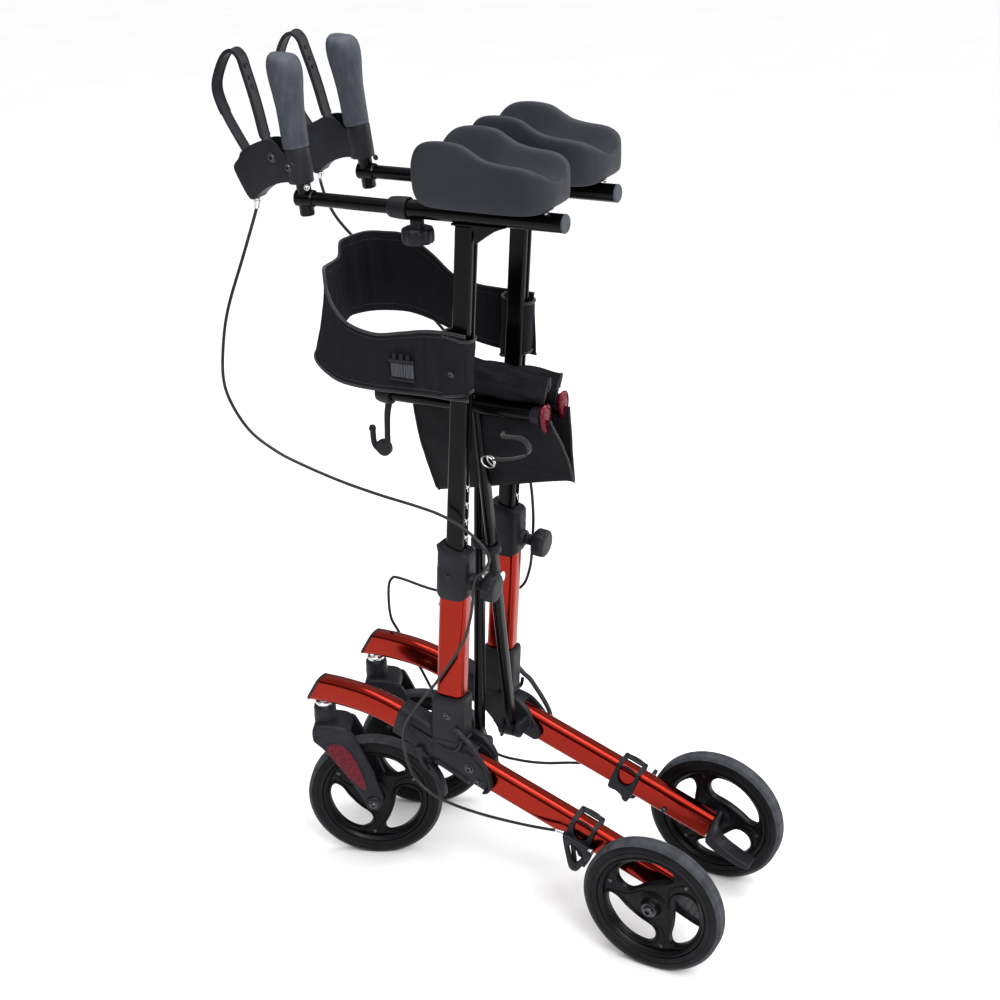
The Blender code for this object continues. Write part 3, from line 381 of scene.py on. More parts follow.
def rounded(w, h, r, n=6):
    pts = []
    for cx, cy, a0 in ((w / 2 - r, h / 2 - r, 0), (r - w / 2, h / 2 - r, 90), (r - w / 2, r - h / 2, 180),
            (w / 2 - r, r - h / 2, 270)):
        for k in range(n + 1):
            a = radians(a0 + 90 * k / n)
            pts.append((cx + r * cos(a), cy + r * sin(a)))
    return pts


def spline(points, per_span=4, closed=False):
    pts = [Vector(p) for p in points]
    n = len(pts)
    if closed:
        ends = [pts[-1]] + pts + [pts[0], pts[1]]
    else:
        ends = [2 * pts[0] - pts[1]] + pts + [2 * pts[-1] - pts[-2]]
    out = []
    for i in range(1, len(ends) - 2):
        a, b, c, d = ends[i - 1:i + 3]
        for k in range(per_span):
            t = k / per_span
            out.append(0.5 * ((2 * b) + (c - a) * t + (2 * a - 5 * b + 4 * c - d) * t * t
                + (3 * b - a - 3 * c + d) * t ** 3))
    return out if closed else out + [pts[-1]]


def softened(outline, turns=2):
    """Corner-cut copy of a closed outline."""
    pts = [Vector(p) for p in outline]
    for _ in range(turns):
        new = []
        for i, p in enumerate(pts):
            q = pts[(i + 1) % len(pts)]
            new += [p.lerp(q, 0.22), p.lerp(q, 0.78)]
        pts = new
    return [tuple(p) for p in pts]


def loft(name, rings, mats, angle=35, caps=True, bevel=0.0):
    bm = bmesh.new()
    rows = [[bm.verts.new(p) for p in ring] for ring in rings]
    for a, b in zip(rows, rows[1:]):
        for i in range(len(a)):
            j = (i + 1) % len(a)
            bm.faces.new((a[i], a[j], b[j], b[i]))
    if caps:
        bm.faces.new(rows[0][::-1])
        bm.faces.new(rows[-1])
    return to_object(name, bm, mats, angle, bevel)


def sweep(name, line, section, x, mats, bevel=0.0):
    """A section (x, normal) carried along (y, z) points in the plane X = x."""
    pts = [Vector(p) for p in line]
    rings = []
    for i, p in enumerate(pts):
        t = (pts[min(i + 1, len(pts) - 1)] - pts[max(i - 1, 0)]).normalized()
        n = Vector((-t.y, t.x))
        rings.append([(x + u, p.x + n.x * v, p.y + n.y * v) for u, v in section])
    return loft(name, rings, mats, bevel=bevel)


def pipe(name, points, radius, mats, sides=16, caps=True):
    """Round tube through 3-D points; radius may be a number or one per point."""
    pts = [Vector(p) for p in points]
    radii = radius if hasattr(radius, "__len__") else [radius] * len(pts)
    t0 = (pts[1] - pts[0]).normalized()
    n = t0.orthogonal().normalized()
    rings = []
    for i, p in enumerate(pts):
        t = (pts[min(i + 1, len(pts) - 1)] - pts[max(i - 1, 0)]).normalized()
        n = (n - t * n.dot(t)).normalized()
        b = t.cross(n)
        rings.append([p + (n * cos(tau * k / sides) + b * sin(tau * k / sides)) * radii[i]
            for k in range(sides)])
    return loft(name, rings, mats, 50, caps)


def prism(name, outline, thickness, x, mats, bevel=0.0008, holes=(), soft=1, angle=40, segments=3):
    """Flat outline in the YZ plane with rounded corners, extruded along X about x."""
    data = bpy.data.curves.new(name, "CURVE")
    data.dimensions = "2D"
    data.fill_mode = "BOTH"
    data.extrude = thickness / 2
    for loop in (outline, *holes):
        pts = softened(loop, soft) if soft else loop
        sp = data.splines.new("POLY")
        sp.points.add(len(pts) - 1)
        for p, co in zip(sp.points, pts):
            p.co = (co[0], co[1], 0.0, 1.0)
        sp.use_cyclic_u = True
    temp = bpy.data.objects.new(name + "_outline", data)
    bpy.context.scene.collection.objects.link(temp)
    bpy.context.view_layer.update()
    mesh = bpy.data.meshes.new_from_object(temp.evaluated_get(bpy.context.evaluated_depsgraph_get()))
    bpy.data.objects.remove(temp, do_unlink=True)
    bm = bmesh.new()
    bm.from_mesh(mesh)
    bpy.data.meshes.remove(mesh)
    bmesh.ops.remove_doubles(bm, verts=bm.verts, dist=0.000002)
    bmesh.ops.dissolve_limit(bm, angle_limit=0.001, verts=bm.verts, edges=bm.edges)
    bmesh.ops.transform(bm, matrix=Matrix(((0, 0, 1, x), (1, 0, 0, 0), (0, 1, 0, 0), (0, 0, 0, 1))),
        verts=bm.verts)
    bmesh.ops.recalc_face_normals(bm, faces=bm.faces)
    if bevel:
        # only the corners between the flat faces and the sides
        sharp = [e for e in bm.edges if len(e.link_faces) == 2 and e.calc_face_angle(0.0) > radians(60)
            and abs(e.link_faces[0].normal.x) + abs(e.link_faces[1].normal.x) > 0.98]
        bmesh.ops.bevel(bm, geom=sharp, offset=bevel, segments=segments, profile=0.5, affect="EDGES",
            clamp_overlap=True)
    return to_object(name, bm, mats, angle)


def block(name, size, centre, mats, bevel=0.001, tilt=None):
    bm = bmesh.new()
    bmesh.ops.create_cube(bm, size=1.0)
    bmesh.ops.scale(bm, vec=size, verts=bm.verts)
    bmesh.ops.bevel(bm, geom=list(bm.edges), offset=bevel, segments=3, profile=0.5, affect="EDGES")
    m = Matrix.Translation(centre)
    if tilt:
        m = m @ (tilt if isinstance(tilt, Matrix) else Matrix.Rotation(tilt, 4, "X"))
    bmesh.ops.transform(bm, matrix=m, verts=bm.verts)
    return to_object(name, bm, mats, 35)


def sliced(obj, point, normal):
    """Cut a closed piece by a plane and close it again."""
    bm = bmesh.new()
    bm.from_mesh(obj.data)
    geom = list(bm.verts) + list(bm.edges) + list(bm.faces)
    cut = bmesh.ops.bisect_plane(bm, geom=geom, dist=0.000001, plane_co=point, plane_no=normal,
        clear_outer=True)
    edges = [e for e in cut["geom_cut"] if isinstance(e, bmesh.types.BMEdge)]
    bmesh.ops.contextual_create(bm, geom=edges)
    bmesh.ops.recalc_face_normals(bm, faces=bm.faces)
    bm.to_mesh(obj.data)
    bm.free()
    obj.data.shade_smooth()
    obj.data.set_sharp_from_angle(angle=radians(35))
    return obj


def screw(name, centre, axis, r, body, mat=BOLT, height=0.0035):
    """Domed screw head with a round socket and a washer."""
    bolt = lathe(name, [(r * 0.45, height * 0.45), (r * 0.45, height), (r * 0.75, height),
        (r * 0.95, height * 0.75), (r, height * 0.4), (r, 0.0)], centre, axis, mat, 32)
    x, y, z = basis(axis)
    # the socket floor is a disc in the dark bolt finish whatever the head is made of: on steel screws this
    # is painted shade at the bottom of the socket
    bm = bmesh.new()
    c = Vector(centre) + z * height * 0.45
    bm.faces.new([bm.verts.new(c + (x * cos(a) + y * sin(a)) * r * 0.5)
        for a in (tau * k / 24 for k in range(24))])
    socket_shade_disc = to_object(name + "_socket", bm, BOLT)
    washer = lathe(name + "_washer", [(r * 0.9, 0.0), (r * 1.35, 0.0), (r * 1.35, 0.0007),
        (r * 0.9, 0.0009)], centre, axis, mat, 32, closed=True)
    for o in (bolt, socket_shade_disc, washer):
        add(o, body)


def post_ring(x, w, h, r, z, n=6, top=None):
    return [(x + u, post_y(z) + v, z + (top(v) if top else 0.0)) for u, v in rounded(w, h, r, n)]


# ---- wheels ------------------------------------------------------------------
def window(turn, grow=1.0):
    """Comma-shaped opening: a narrow tip at the rim, a bulb at the hub."""
    shape = [(0.0605, -3), (0.0665, 3), (0.0688, 20), (0.0688, 42), (0.0684, 62), (0.0655, 80),
        (0.0565, 91), (0.044, 96), (0.034, 92), (0.0295, 78), (0.0292, 58), (0.0318, 37), (0.039, 15),
        (0.049, 0)]
    pts = [Vector((*polar(r, turn + radians(a)), 0)) for r, a in shape]
    mid = sum(pts, Vector()) / len(pts)
    return [tuple((mid + (p - mid) * grow).xy) for p in spline(pts, 4, closed=True)]


def wheel(s, name, body, place, phase):
    """Tyre and swirl-spoked rim about the X axis through `place`'s origin."""
    front = name.startswith("front")
    tyre = lathe(f"{name}_tyre_look", both(mm((77.9, 10), (79.5, 12.6), (82, 13.3), (85, 13.4),
        (85.8, 12.7), (86.8, 12.7), (87.6, 13.4), (91.5, 13.3), (95.2, 12.1), (97.8, 9.8), (98.8, 9.2),
        (99.2, 8.6), (100, 7.8), (100, 3), (99.6, 2.6))), ORIGIN, X_AXIS, [TYRE, TREAD],
        128, 40, closed=True, paint=[0] * 8 + [1] * 13 + [0] * 9)
    tyre.data.transform(Matrix.Diagonal((0.9 if front else 0.955, 1, 1, 1)))
    turns = [radians(phase + a) for a in (0, 120, 240)]
    pieces = [lathe(f"{name}_channel", both(mm((77.7, 10.6), (76.6, 11.2), (75.2, 11.2), (73.7, 9.6),
        (71.6, 8), (70.6, 5))), ORIGIN, X_AXIS, RIM, 128, 40, closed=True)]
    pieces.append(prism(f"{name}_disc", [polar(0.0722, tau * k / 96) for k in range(96)],
        0.008, 0.0, RIM, 0.0012, [window(t) for t in turns], soft=0, angle=45))
    for k, t in enumerate(turns):
        for edge in (1, -1):
            # raised rib that follows the window's edge on both faces
            line = [Vector((edge * 0.0042, p[0], p[1])) for p in window(t, 1.07)]
            pieces.append(pipe(f"{name}_rib_{k}_{edge}", line + line[:1], 0.002, RIM, 10, False))
            # low ridge down the middle of the spoke, and where it flares into the rim a flat triangle in
            # the dark bolt finish: painted shade of the pocket there, not a modelled recess
            ridge = spline([(edge * 0.004, *polar(r, t + radians(a))) for r, a in ((0.024, 60),
                (0.033, 104), (0.044, 111), (0.056, 108), (0.064, 104))], 5)
            pieces.append(pipe(f"{name}_ridge_{k}_{edge}", ridge, 0.0014, RIM, 8))
            a = t + radians(101)
            c = Vector(polar(0.0655, a))
            tri = [(c.x + u, c.y + v) for u, v in (polar(0.005, a + q) for q in (0.0, 2.3, 4.0))]
            pieces.append(prism(f"{name}_pocket_{k}_{edge}", tri, 0.001, edge * 0.004, BOLT, 0.0002,
                soft=2))
    near, far = (0.0175, 0.0175) if front else (0.0155, 0.024)
    hub = [(0.0055, near), (0.011, near), (0.0122, near - 0.0012), (0.0126, near - 0.004), (0.015, 0.0075),
        (0.02, 0.006), (0.0225, 0.0045), (0.0225, -0.0045), (0.02, -0.006), (0.015, -0.0075),
        (0.0126, -0.013), (0.0126, -far), (0.0055, -far)]
    pieces.append(lathe(f"{name}_hub", [(r, h * (1 if front else s)) for r, h in hub],
        ORIGIN, X_AXIS, RIM, 64, 40, closed=True))
    for obj in pieces:
        obj.data.transform(place)
        add(obj, body, f"{name}_rim")
    tyre.data.transform(place)
    add(tyre, body, f"{name}_tyre")


# ---- one side ----------------------------------------------------------------
def base_and_hinge(s, side, x):
    body = f"{side}_frame"
    line = spline(BASE_LINE, 3)
    section = rounded(TUBE_W, TUBE_H, 0.009, 8)
    n = Vector((0, cos(radians(31)), -sin(radians(31))))
    nose = Vector((x, -0.2905, 0.2855))
    tube = sliced(sweep(f"base_tube_{side}_look", line, section, x, RED), nose + n * 0.0036, -n)
    add(tube, body, f"base_tube_{side}")
    plug = sliced(sweep(f"base_plug_{side}_look", line[:16], section, x, PLASTIC), nose + n * 0.0034, n)
    add(sliced(plug, nose + n * 0.0002, -n), body, f"base_plug_{side}")
    cap = sliced(sweep(f"base_plug_{side}_face", line[:16], rounded(TUBE_W - 0.003, TUBE_H - 0.003, 0.008,
        8), x, PLASTIC), nose + n * 0.0005, n)
    add(sliced(cap, nose - n * 0.001, -n), body)
    screw(f"base_screw_{side}", (x - s * 0.0125, 0.1985, 0.1245), (-s, 0, 0), 0.0036, body)

    pedal = mm((274, 130.5), (279.5, 128), (272.5, 108), (273.5, 97.5), (284, 86), (313, 70), (325, 66.5),
        (328.5, 62.5), (325, 58), (312, 58.5), (279, 73), (265.5, 82), (260, 88), (266.5, 107.5))
    piece(body, f"kerb_pedal_{side}", prism, "look", pedal, 0.026, x, PLASTIC, 0.0022, soft=2, segments=4)
    for k in range(5):
        y = 0.289 + 0.0075 * k
        add(block(f"pedal_grip_{side}_{k}", (0.0215, 0.0022, 0.0018), (x, y, 0.0856 - (y - 0.284) * 0.545),
            PLASTIC, 0.0006, -0.5), body)

    house = f"hinge_housing_{side}"
    put = partial(piece, body, house)
    inner = spline([p for p in BASE_LINE if -0.15 < p[0] < -0.03], 4)
    put(sweep, "sleeve", inner, rounded(0.034, 0.05, 0.01, 8), x, PLASTIC, bevel=0.0012)
    rings = []
    for z, grow in mm((236.5, -3), (238.5, -0.8), (242, 0), (253.5, 0.4), (254.5, 1.6), (260, 1.8),
            (261.5, 0.4), (319, 0), (326, -0.4), (328, -1.4), (328.7, -3.4)):
        rings.append(post_ring(x, 0.037 + 2 * grow, 0.0515 + 2 * grow, 0.01 + grow, z, 8))
    # the mouth is hollow, so that the upper post can come down into it
    rings += [post_ring(x, 0.026, 0.03, 0.006, z, 8) for z in (0.3286, 0.298)]
    put(loft, "socket", rings, PLASTIC)
    for k in range(7):
        # slanting ribs of the front collar
        z = 0.27 + 0.0075 * k
        add(block(f"{house}_rib_{k}", (0.03, 0.0022, 0.003), (x, post_y(z) - 0.0258, z),
            PLASTIC, 0.0009, Matrix.Rotation(0.35 * s, 4, "Y")), body)
    for dx in (-0.0165, 0.0165):
        put(prism, f"cheek_{'in' if dx * s < 0 else 'out'}", mm((-86, 254.5), (-31, 247.6), (-15, 237),
            (4.5, 213), (6.5, 204), (4, 196.5), (-1.5, 193), (-8, 193), (-86, 226)),
            0.005, x + dx, PLASTIC, 0.0014, soft=2)
    for k, (y, z, r) in enumerate(((-0.0295, 0.2235, 0.0052), (-0.0165, 0.2045, 0.0038))):
        screw(f"{house}_screw_{k}", (x + s * 0.019, y, z), (s, 0, 0), r, body)
    # raised rim that runs down the collar and round the socket's tongue
    rim = spline([(x + s * 0.0192, y, z) for y, z in mm((-123, 269), (-105, 262), (-87, 255), (-74, 249),
        (-60, 246.2), (-49, 249.5), (-42, 257), (-39.5, 268))], 5)
    put(pipe, "rim", rim, 0.0026, PLASTIC, 12)
    # curved fin behind the cheek, the strut below it, the latch and its guard
    fin = mm((-48, 286), (-38, 276), (-28, 269), (-19, 257), (-8, 241), (1.5, 223), (5, 207), (1, 196),
        (-7, 192))
    put(sweep, "fin", spline(fin, 4), rounded(0.0085, 0.0036, 0.0014, 4), x + s * 0.0205, PLASTIC)
    strut = mm((-83, 223), (-58, 213), (-30, 201))
    put(sweep, "strut", strut, rounded(0.006, 0.0072, 0.002, 4), x + s * 0.018, PLASTIC)
    put(prism, "latch", mm((-116, 240.5), (-102, 241), (-103, 234.5), (-102, 216), (-93, 208), (-96, 202),
        (-108, 213), (-111, 234)), 0.009, x + s * 0.019, PLASTIC, 0.0012)
    guard = mm((-96, 213), (-86, 204), (-78, 189), (-74.5, 174), (-75, 165))
    put(sweep, "guard", spline(guard, 5), rounded(0.013, 0.004, 0.0016, 4), x + s * 0.015, PLASTIC)
    put(prism, "web", mm((-96, 215), (-85, 203), (-77, 185), (-74.5, 166), (-80, 172), (-90, 190),
        (-106, 206), (-100, 225)), 0.006, x + s * 0.015, PLASTIC, 0.001)
    screw(f"{house}_bolt", (x + s * 0.0185, -0.06, 0.301), (s, 0, 0), 0.0044, body, height=0.003)
    put(prism, "lug", mm((-69, 262), (-69, 212), (-64, 208), (-10, 208), (-6, 213), (-6, 236), (-30, 262)),
        0.0095, x - s * 0.0198, PLASTIC, 0.0012)
    foot_y = BRACE_A_Y if s > 0 else BRACE_B_Y
    for k, dy in enumerate((-0.0125, 0.0125)):
        put(lathe, f"ear_{k}", both(mm((0, -3.5), (11.2, -3.5), (12, -2.7))),
            (s * FOOT_X, foot_y + dy, FOOT_Z), Y_AXIS, PLASTIC, 48)
        put(block, f"arm_{k}", (0.025, 0.0066, 0.0195), (s * (FOOT_X + 0.0125), foot_y + dy, FOOT_Z),
            PLASTIC, 0.001)


def post_and_knob(s, side, x):
    body = f"{side}_frame"
    rings = [post_ring(x, TUBE_W, TUBE_H, 0.0075, z, 8) for z in (0.2712, 0.3, 0.4, 0.52, 0.5298)]
    piece(body, f"lower_post_{side}", loft, "look", rings, RED)
    screw(f"post_bolt_{side}", (x, post_y(0.466) - 0.0205, 0.466), (0, -1, 0.09), 0.0042, body)

    # sleeve: rounded shield below, slanted top
    rings = []
    for z, grow in mm((489, -2.6), (490, -1), (492.5, 0), (528, 0), (531, -0.4)):
        rings.append(post_ring(x, 0.034 + 2 * grow, 0.0485 + 2 * grow, 0.01, z, 8,
            lambda v: -0.0085 * cos(pi * v / 0.05) if z < 0.5 else 0.0))
    for z, grow in mm((544, -0.6), (555.5, -1), (558, -2.2), (558.8, -4.2)):
        rings.append(post_ring(x, 0.034 + 2 * grow, 0.0485 + 2 * grow, 0.01, z, 8, lambda v: -0.25 * v))
    piece(body, f"height_sleeve_{side}", loft, "look", rings, PLASTIC)
    add(block(f"sleeve_tab_{side}", (0.01, 0.002, 0.009), (x + s * 0.006, post_y(0.553) - 0.0245, 0.556),
        STEEL, 0.0006, 0.09), body)
    screw(f"sleeve_rivet_{side}", (x + s * 0.0168, post_y(0.52) - 0.004, 0.52), (s, 0, 0), 0.0022, body)
    hub = Vector((x, post_y(0.512), 0.512))
    add(lathe(f"sleeve_boss_{side}", mm((0, 18), (12.5, 18), (11.5, 28.5), (10.5, 30), (0, 30)),
        hub, BACK, PLASTIC, 48), body, f"height_sleeve_{side}")

    at = hub + BACK * 0.03
    knob = f"{side}_height_knob"
    piece(knob, f"height_knob_{side}", lathe, "neck", mm((0, 0.5), (7.5, 0.5), (8.2, 2), (7, 3.2),
        (8.2, 4.5), (7, 5.8), (8.2, 7.2), (7, 8.6), (8.5, 10.2), (11, 13.5), (13, 15.5), (0, 15.5)),
        at, BACK, PLASTIC, 48)
    piece(knob, f"height_knob_{side}", lathe, "head", mm((0, 14.5), (15, 14.5), (18.5, 15.8), (20.1, 18.5),
        (20.3, 24), (20.1, 29), (18.8, 31.8), (16, 33.3), (11, 33.7), (0, 33.7)),
        at, BACK, PLASTIC, 160, 50, flutes=12, depth=0.0009)

    # upper post with its groove and printed scale
    body = f"{side}_post"
    ring = rounded(0.021, 0.025, 0.0045, 6)
    ring = ring[:7] + mm((4.2, 12.5), (3.6, 10.6), (-3.6, 10.6), (-4.2, 12.5)) + ring[7:]
    piece(body, f"upper_post_{side}", loft, "look", [[(x + u, post_y(z) + v, z) for u, v in ring]
        for z in (0.36, 0.55, 0.75, 0.9985)], BLACK, 25)
    for k in range(5):
        # printed height marks down the groove, one for each 25 mm step
        z = 0.549 + 0.0245 * k
        y = post_y(z) + 0.0127
        for key, size, dx, dz, turn in (("", (0.009, 0.0004, 0.0013), -0.0015, 0.0, 0.0), ("mark_",
                (0.0012, 0.0004, 0.0062), -0.001, -0.0035, 0.0), ("tick_", (0.001, 0.0004, 0.0048),
                0.001, 0.0024, 0.75)):
            add(block(f"scale_{key}{side}_{k}", size, (x + dx, y, z + dz),
                PRINT, 0.0001, Matrix.Rotation(turn, 4, "Y")), body)


def rail_and_pad(s, side, x):
    body = f"{side}_post"
    piece(body, f"forearm_rail_{side}", lathe, "look", [(0.0095, -0.085), (RAIL_R, -0.085),
        (RAIL_R, 0.1335), (0.0098, 0.1335), (0.0095, 0.13)], (x, 0, RAIL_Z), Y_AXIS, BLACK, 64)
    add(lathe(f"rail_cap_{side}", mm((0, 128), (10.6, 132.5), (11.7, 133.7), (11.7, 135), (10.6, 136.2),
        (0, 136.4)), (x, 0, RAIL_Z), Y_AXIS, GRIP, 64), body, f"forearm_rail_{side}")
    y = post_y(0.99)
    add(prism(f"rail_saddle_{side}", [(y - 0.0165, 0.9988), (y - 0.0165, RAIL_Z - 0.0102),
        (0.06, RAIL_Z - 0.0102), (0.055, 1.001), (0.04, 0.995), (y + 0.0185, 0.98), (y + 0.015, 0.9775),
        (y + 0.0147, 0.9988)], 0.018, x, BLACK, 0.0014), body, f"forearm_rail_{side}")
    for k, yy in enumerate((-0.03, 0.03, 0.094)):
        # posts that carry the pad over the rail
        add(block(f"pad_mount_{side}_{k}", (0.012, 0.02, 0.012), (x, yy, RAIL_Z + 0.0164), PLASTIC, 0.0012),
            body)
    add(block(f"pad_plate_{side}", (0.028, 0.056, 0.003), (x, 0.085, 1.0262), BLACK, 0.0008), body)
    screw(f"pad_bolt_{side}", (x + s * 0.006, 0.113, 1.0255), (s * 0.5, 1, 0), 0.0026, body, STEEL)

    piece(body, f"rail_collar_{side}", lathe, "look", mm((9.7, -20.5), (11.8, -20.7), (12.8, -19),
        (13.4, -15), (14.1, -6), (14.3, 0), (14.1, 5.8), (13.6, 6.4), (11.9, 6.4), (11.9, 0.3),
        (9.7, -0.3)), (x, -0.085, RAIL_Z), Y_AXIS, PLASTIC, 64, closed=True)
    knob = f"{side}_rail_knob"
    piece(knob, f"rail_knob_{side}", lathe, "neck", mm((0, -11.2), (6.2, -11.2), (6.2, -12.5), (8.8, -12.8),
        (8.8, -19), (10.5, -22.6), (0, -22.6)), (x, -0.069, RAIL_Z), Z_AXIS, PLASTIC, 48)
    piece(knob, f"rail_knob_{side}", lathe, "head", mm((0, -21.8), (15, -22.2), (19, -23.6), (20.8, -26.2),
        (21.1, -32.5), (20.8, -39.2), (19.2, -41.8), (16, -42.8), (0, -43)), (x, -0.069, RAIL_Z),
        Z_AXIS, PLASTIC, 160, 50, flutes=10, depth=0.0013)

    # forearm pad: a moulded trough between two wings
    px = s * 0.0725
    stations = mm((-53.5, 33, 1048, 1063, 1070), (-50, 39.5, 1040, 1060, 1083), (-43, 45, 1033, 1057, 1096),
        (-33, 48.5, 1028.5, 1054, 1104.5), (-18, 50.5, 1027, 1051.5, 1109), (4, 51, 1026.5, 1050, 1110),
        (25, 51.2, 1026.5, 1049, 1107), (40, 51.2, 1026.5, 1049, 1099), (54, 51.2, 1026.5, 1049, 1092),
        (74, 51, 1026.5, 1050, 1088), (94, 50.2, 1027, 1052.5, 1086.5), (108, 48, 1028, 1056, 1084),
        (118, 43.5, 1030, 1059, 1079.5), (124, 37, 1033.5, 1061, 1074.5), (127.2, 29, 1038, 1062, 1069))
    shape = [(-1.0, 0.18), (-1.0, 0.52), (-0.985, 0.78), (-0.94, 0.94), (-0.86, 1.0), (-0.77, 0.93),
        (-0.66, 0.68), (-0.52, 0.38), (-0.32, 0.1)]
    shape += [(0.0, 0.0)] + [(-u, v) for u, v in reversed(shape)]
    under = [(0.985, 0.55), (0.94, 0.22), (0.84, 0.04), (0.5, 0.0)]
    under += [(0.0, 0.0)] + [(-u, v) for u, v in reversed(under)]
    low_part = spline([(y, w, b) for y, w, b, _, _ in stations], 3)
    top_part = spline([(y, t, w) for y, _, _, t, w in stations], 3)
    rings = []
    for (y, half_w, bottom), (_, trough, wing) in zip(low_part, top_part):
        pts = [Vector((px + u * half_w, y, trough + (wing - trough) * v)) for u, v in shape]
        low = pts[0].z
        pts += [Vector((px + u * half_w, y, bottom + (low - bottom) * v)) for u, v in under]
        rings.append([tuple(p) for p in spline(pts, 3, closed=True)])
    for end, order in ((rings[0], -1), (rings[-1], 1)):
        mid = sum((Vector(p) for p in end), Vector()) / len(end)
        for f, push in ((0.8, 0.0022), (0.45, 0.0034), (0.15, 0.0038)):
            ring = [tuple(mid + (Vector(p) - mid) * f + Vector((0, order * push, 0))) for p in end]
            rings.append(ring) if order > 0 else rings.insert(0, ring)
    pad = piece(body, f"forearm_pad_{side}", loft, "look", rings, FOAM, 180)


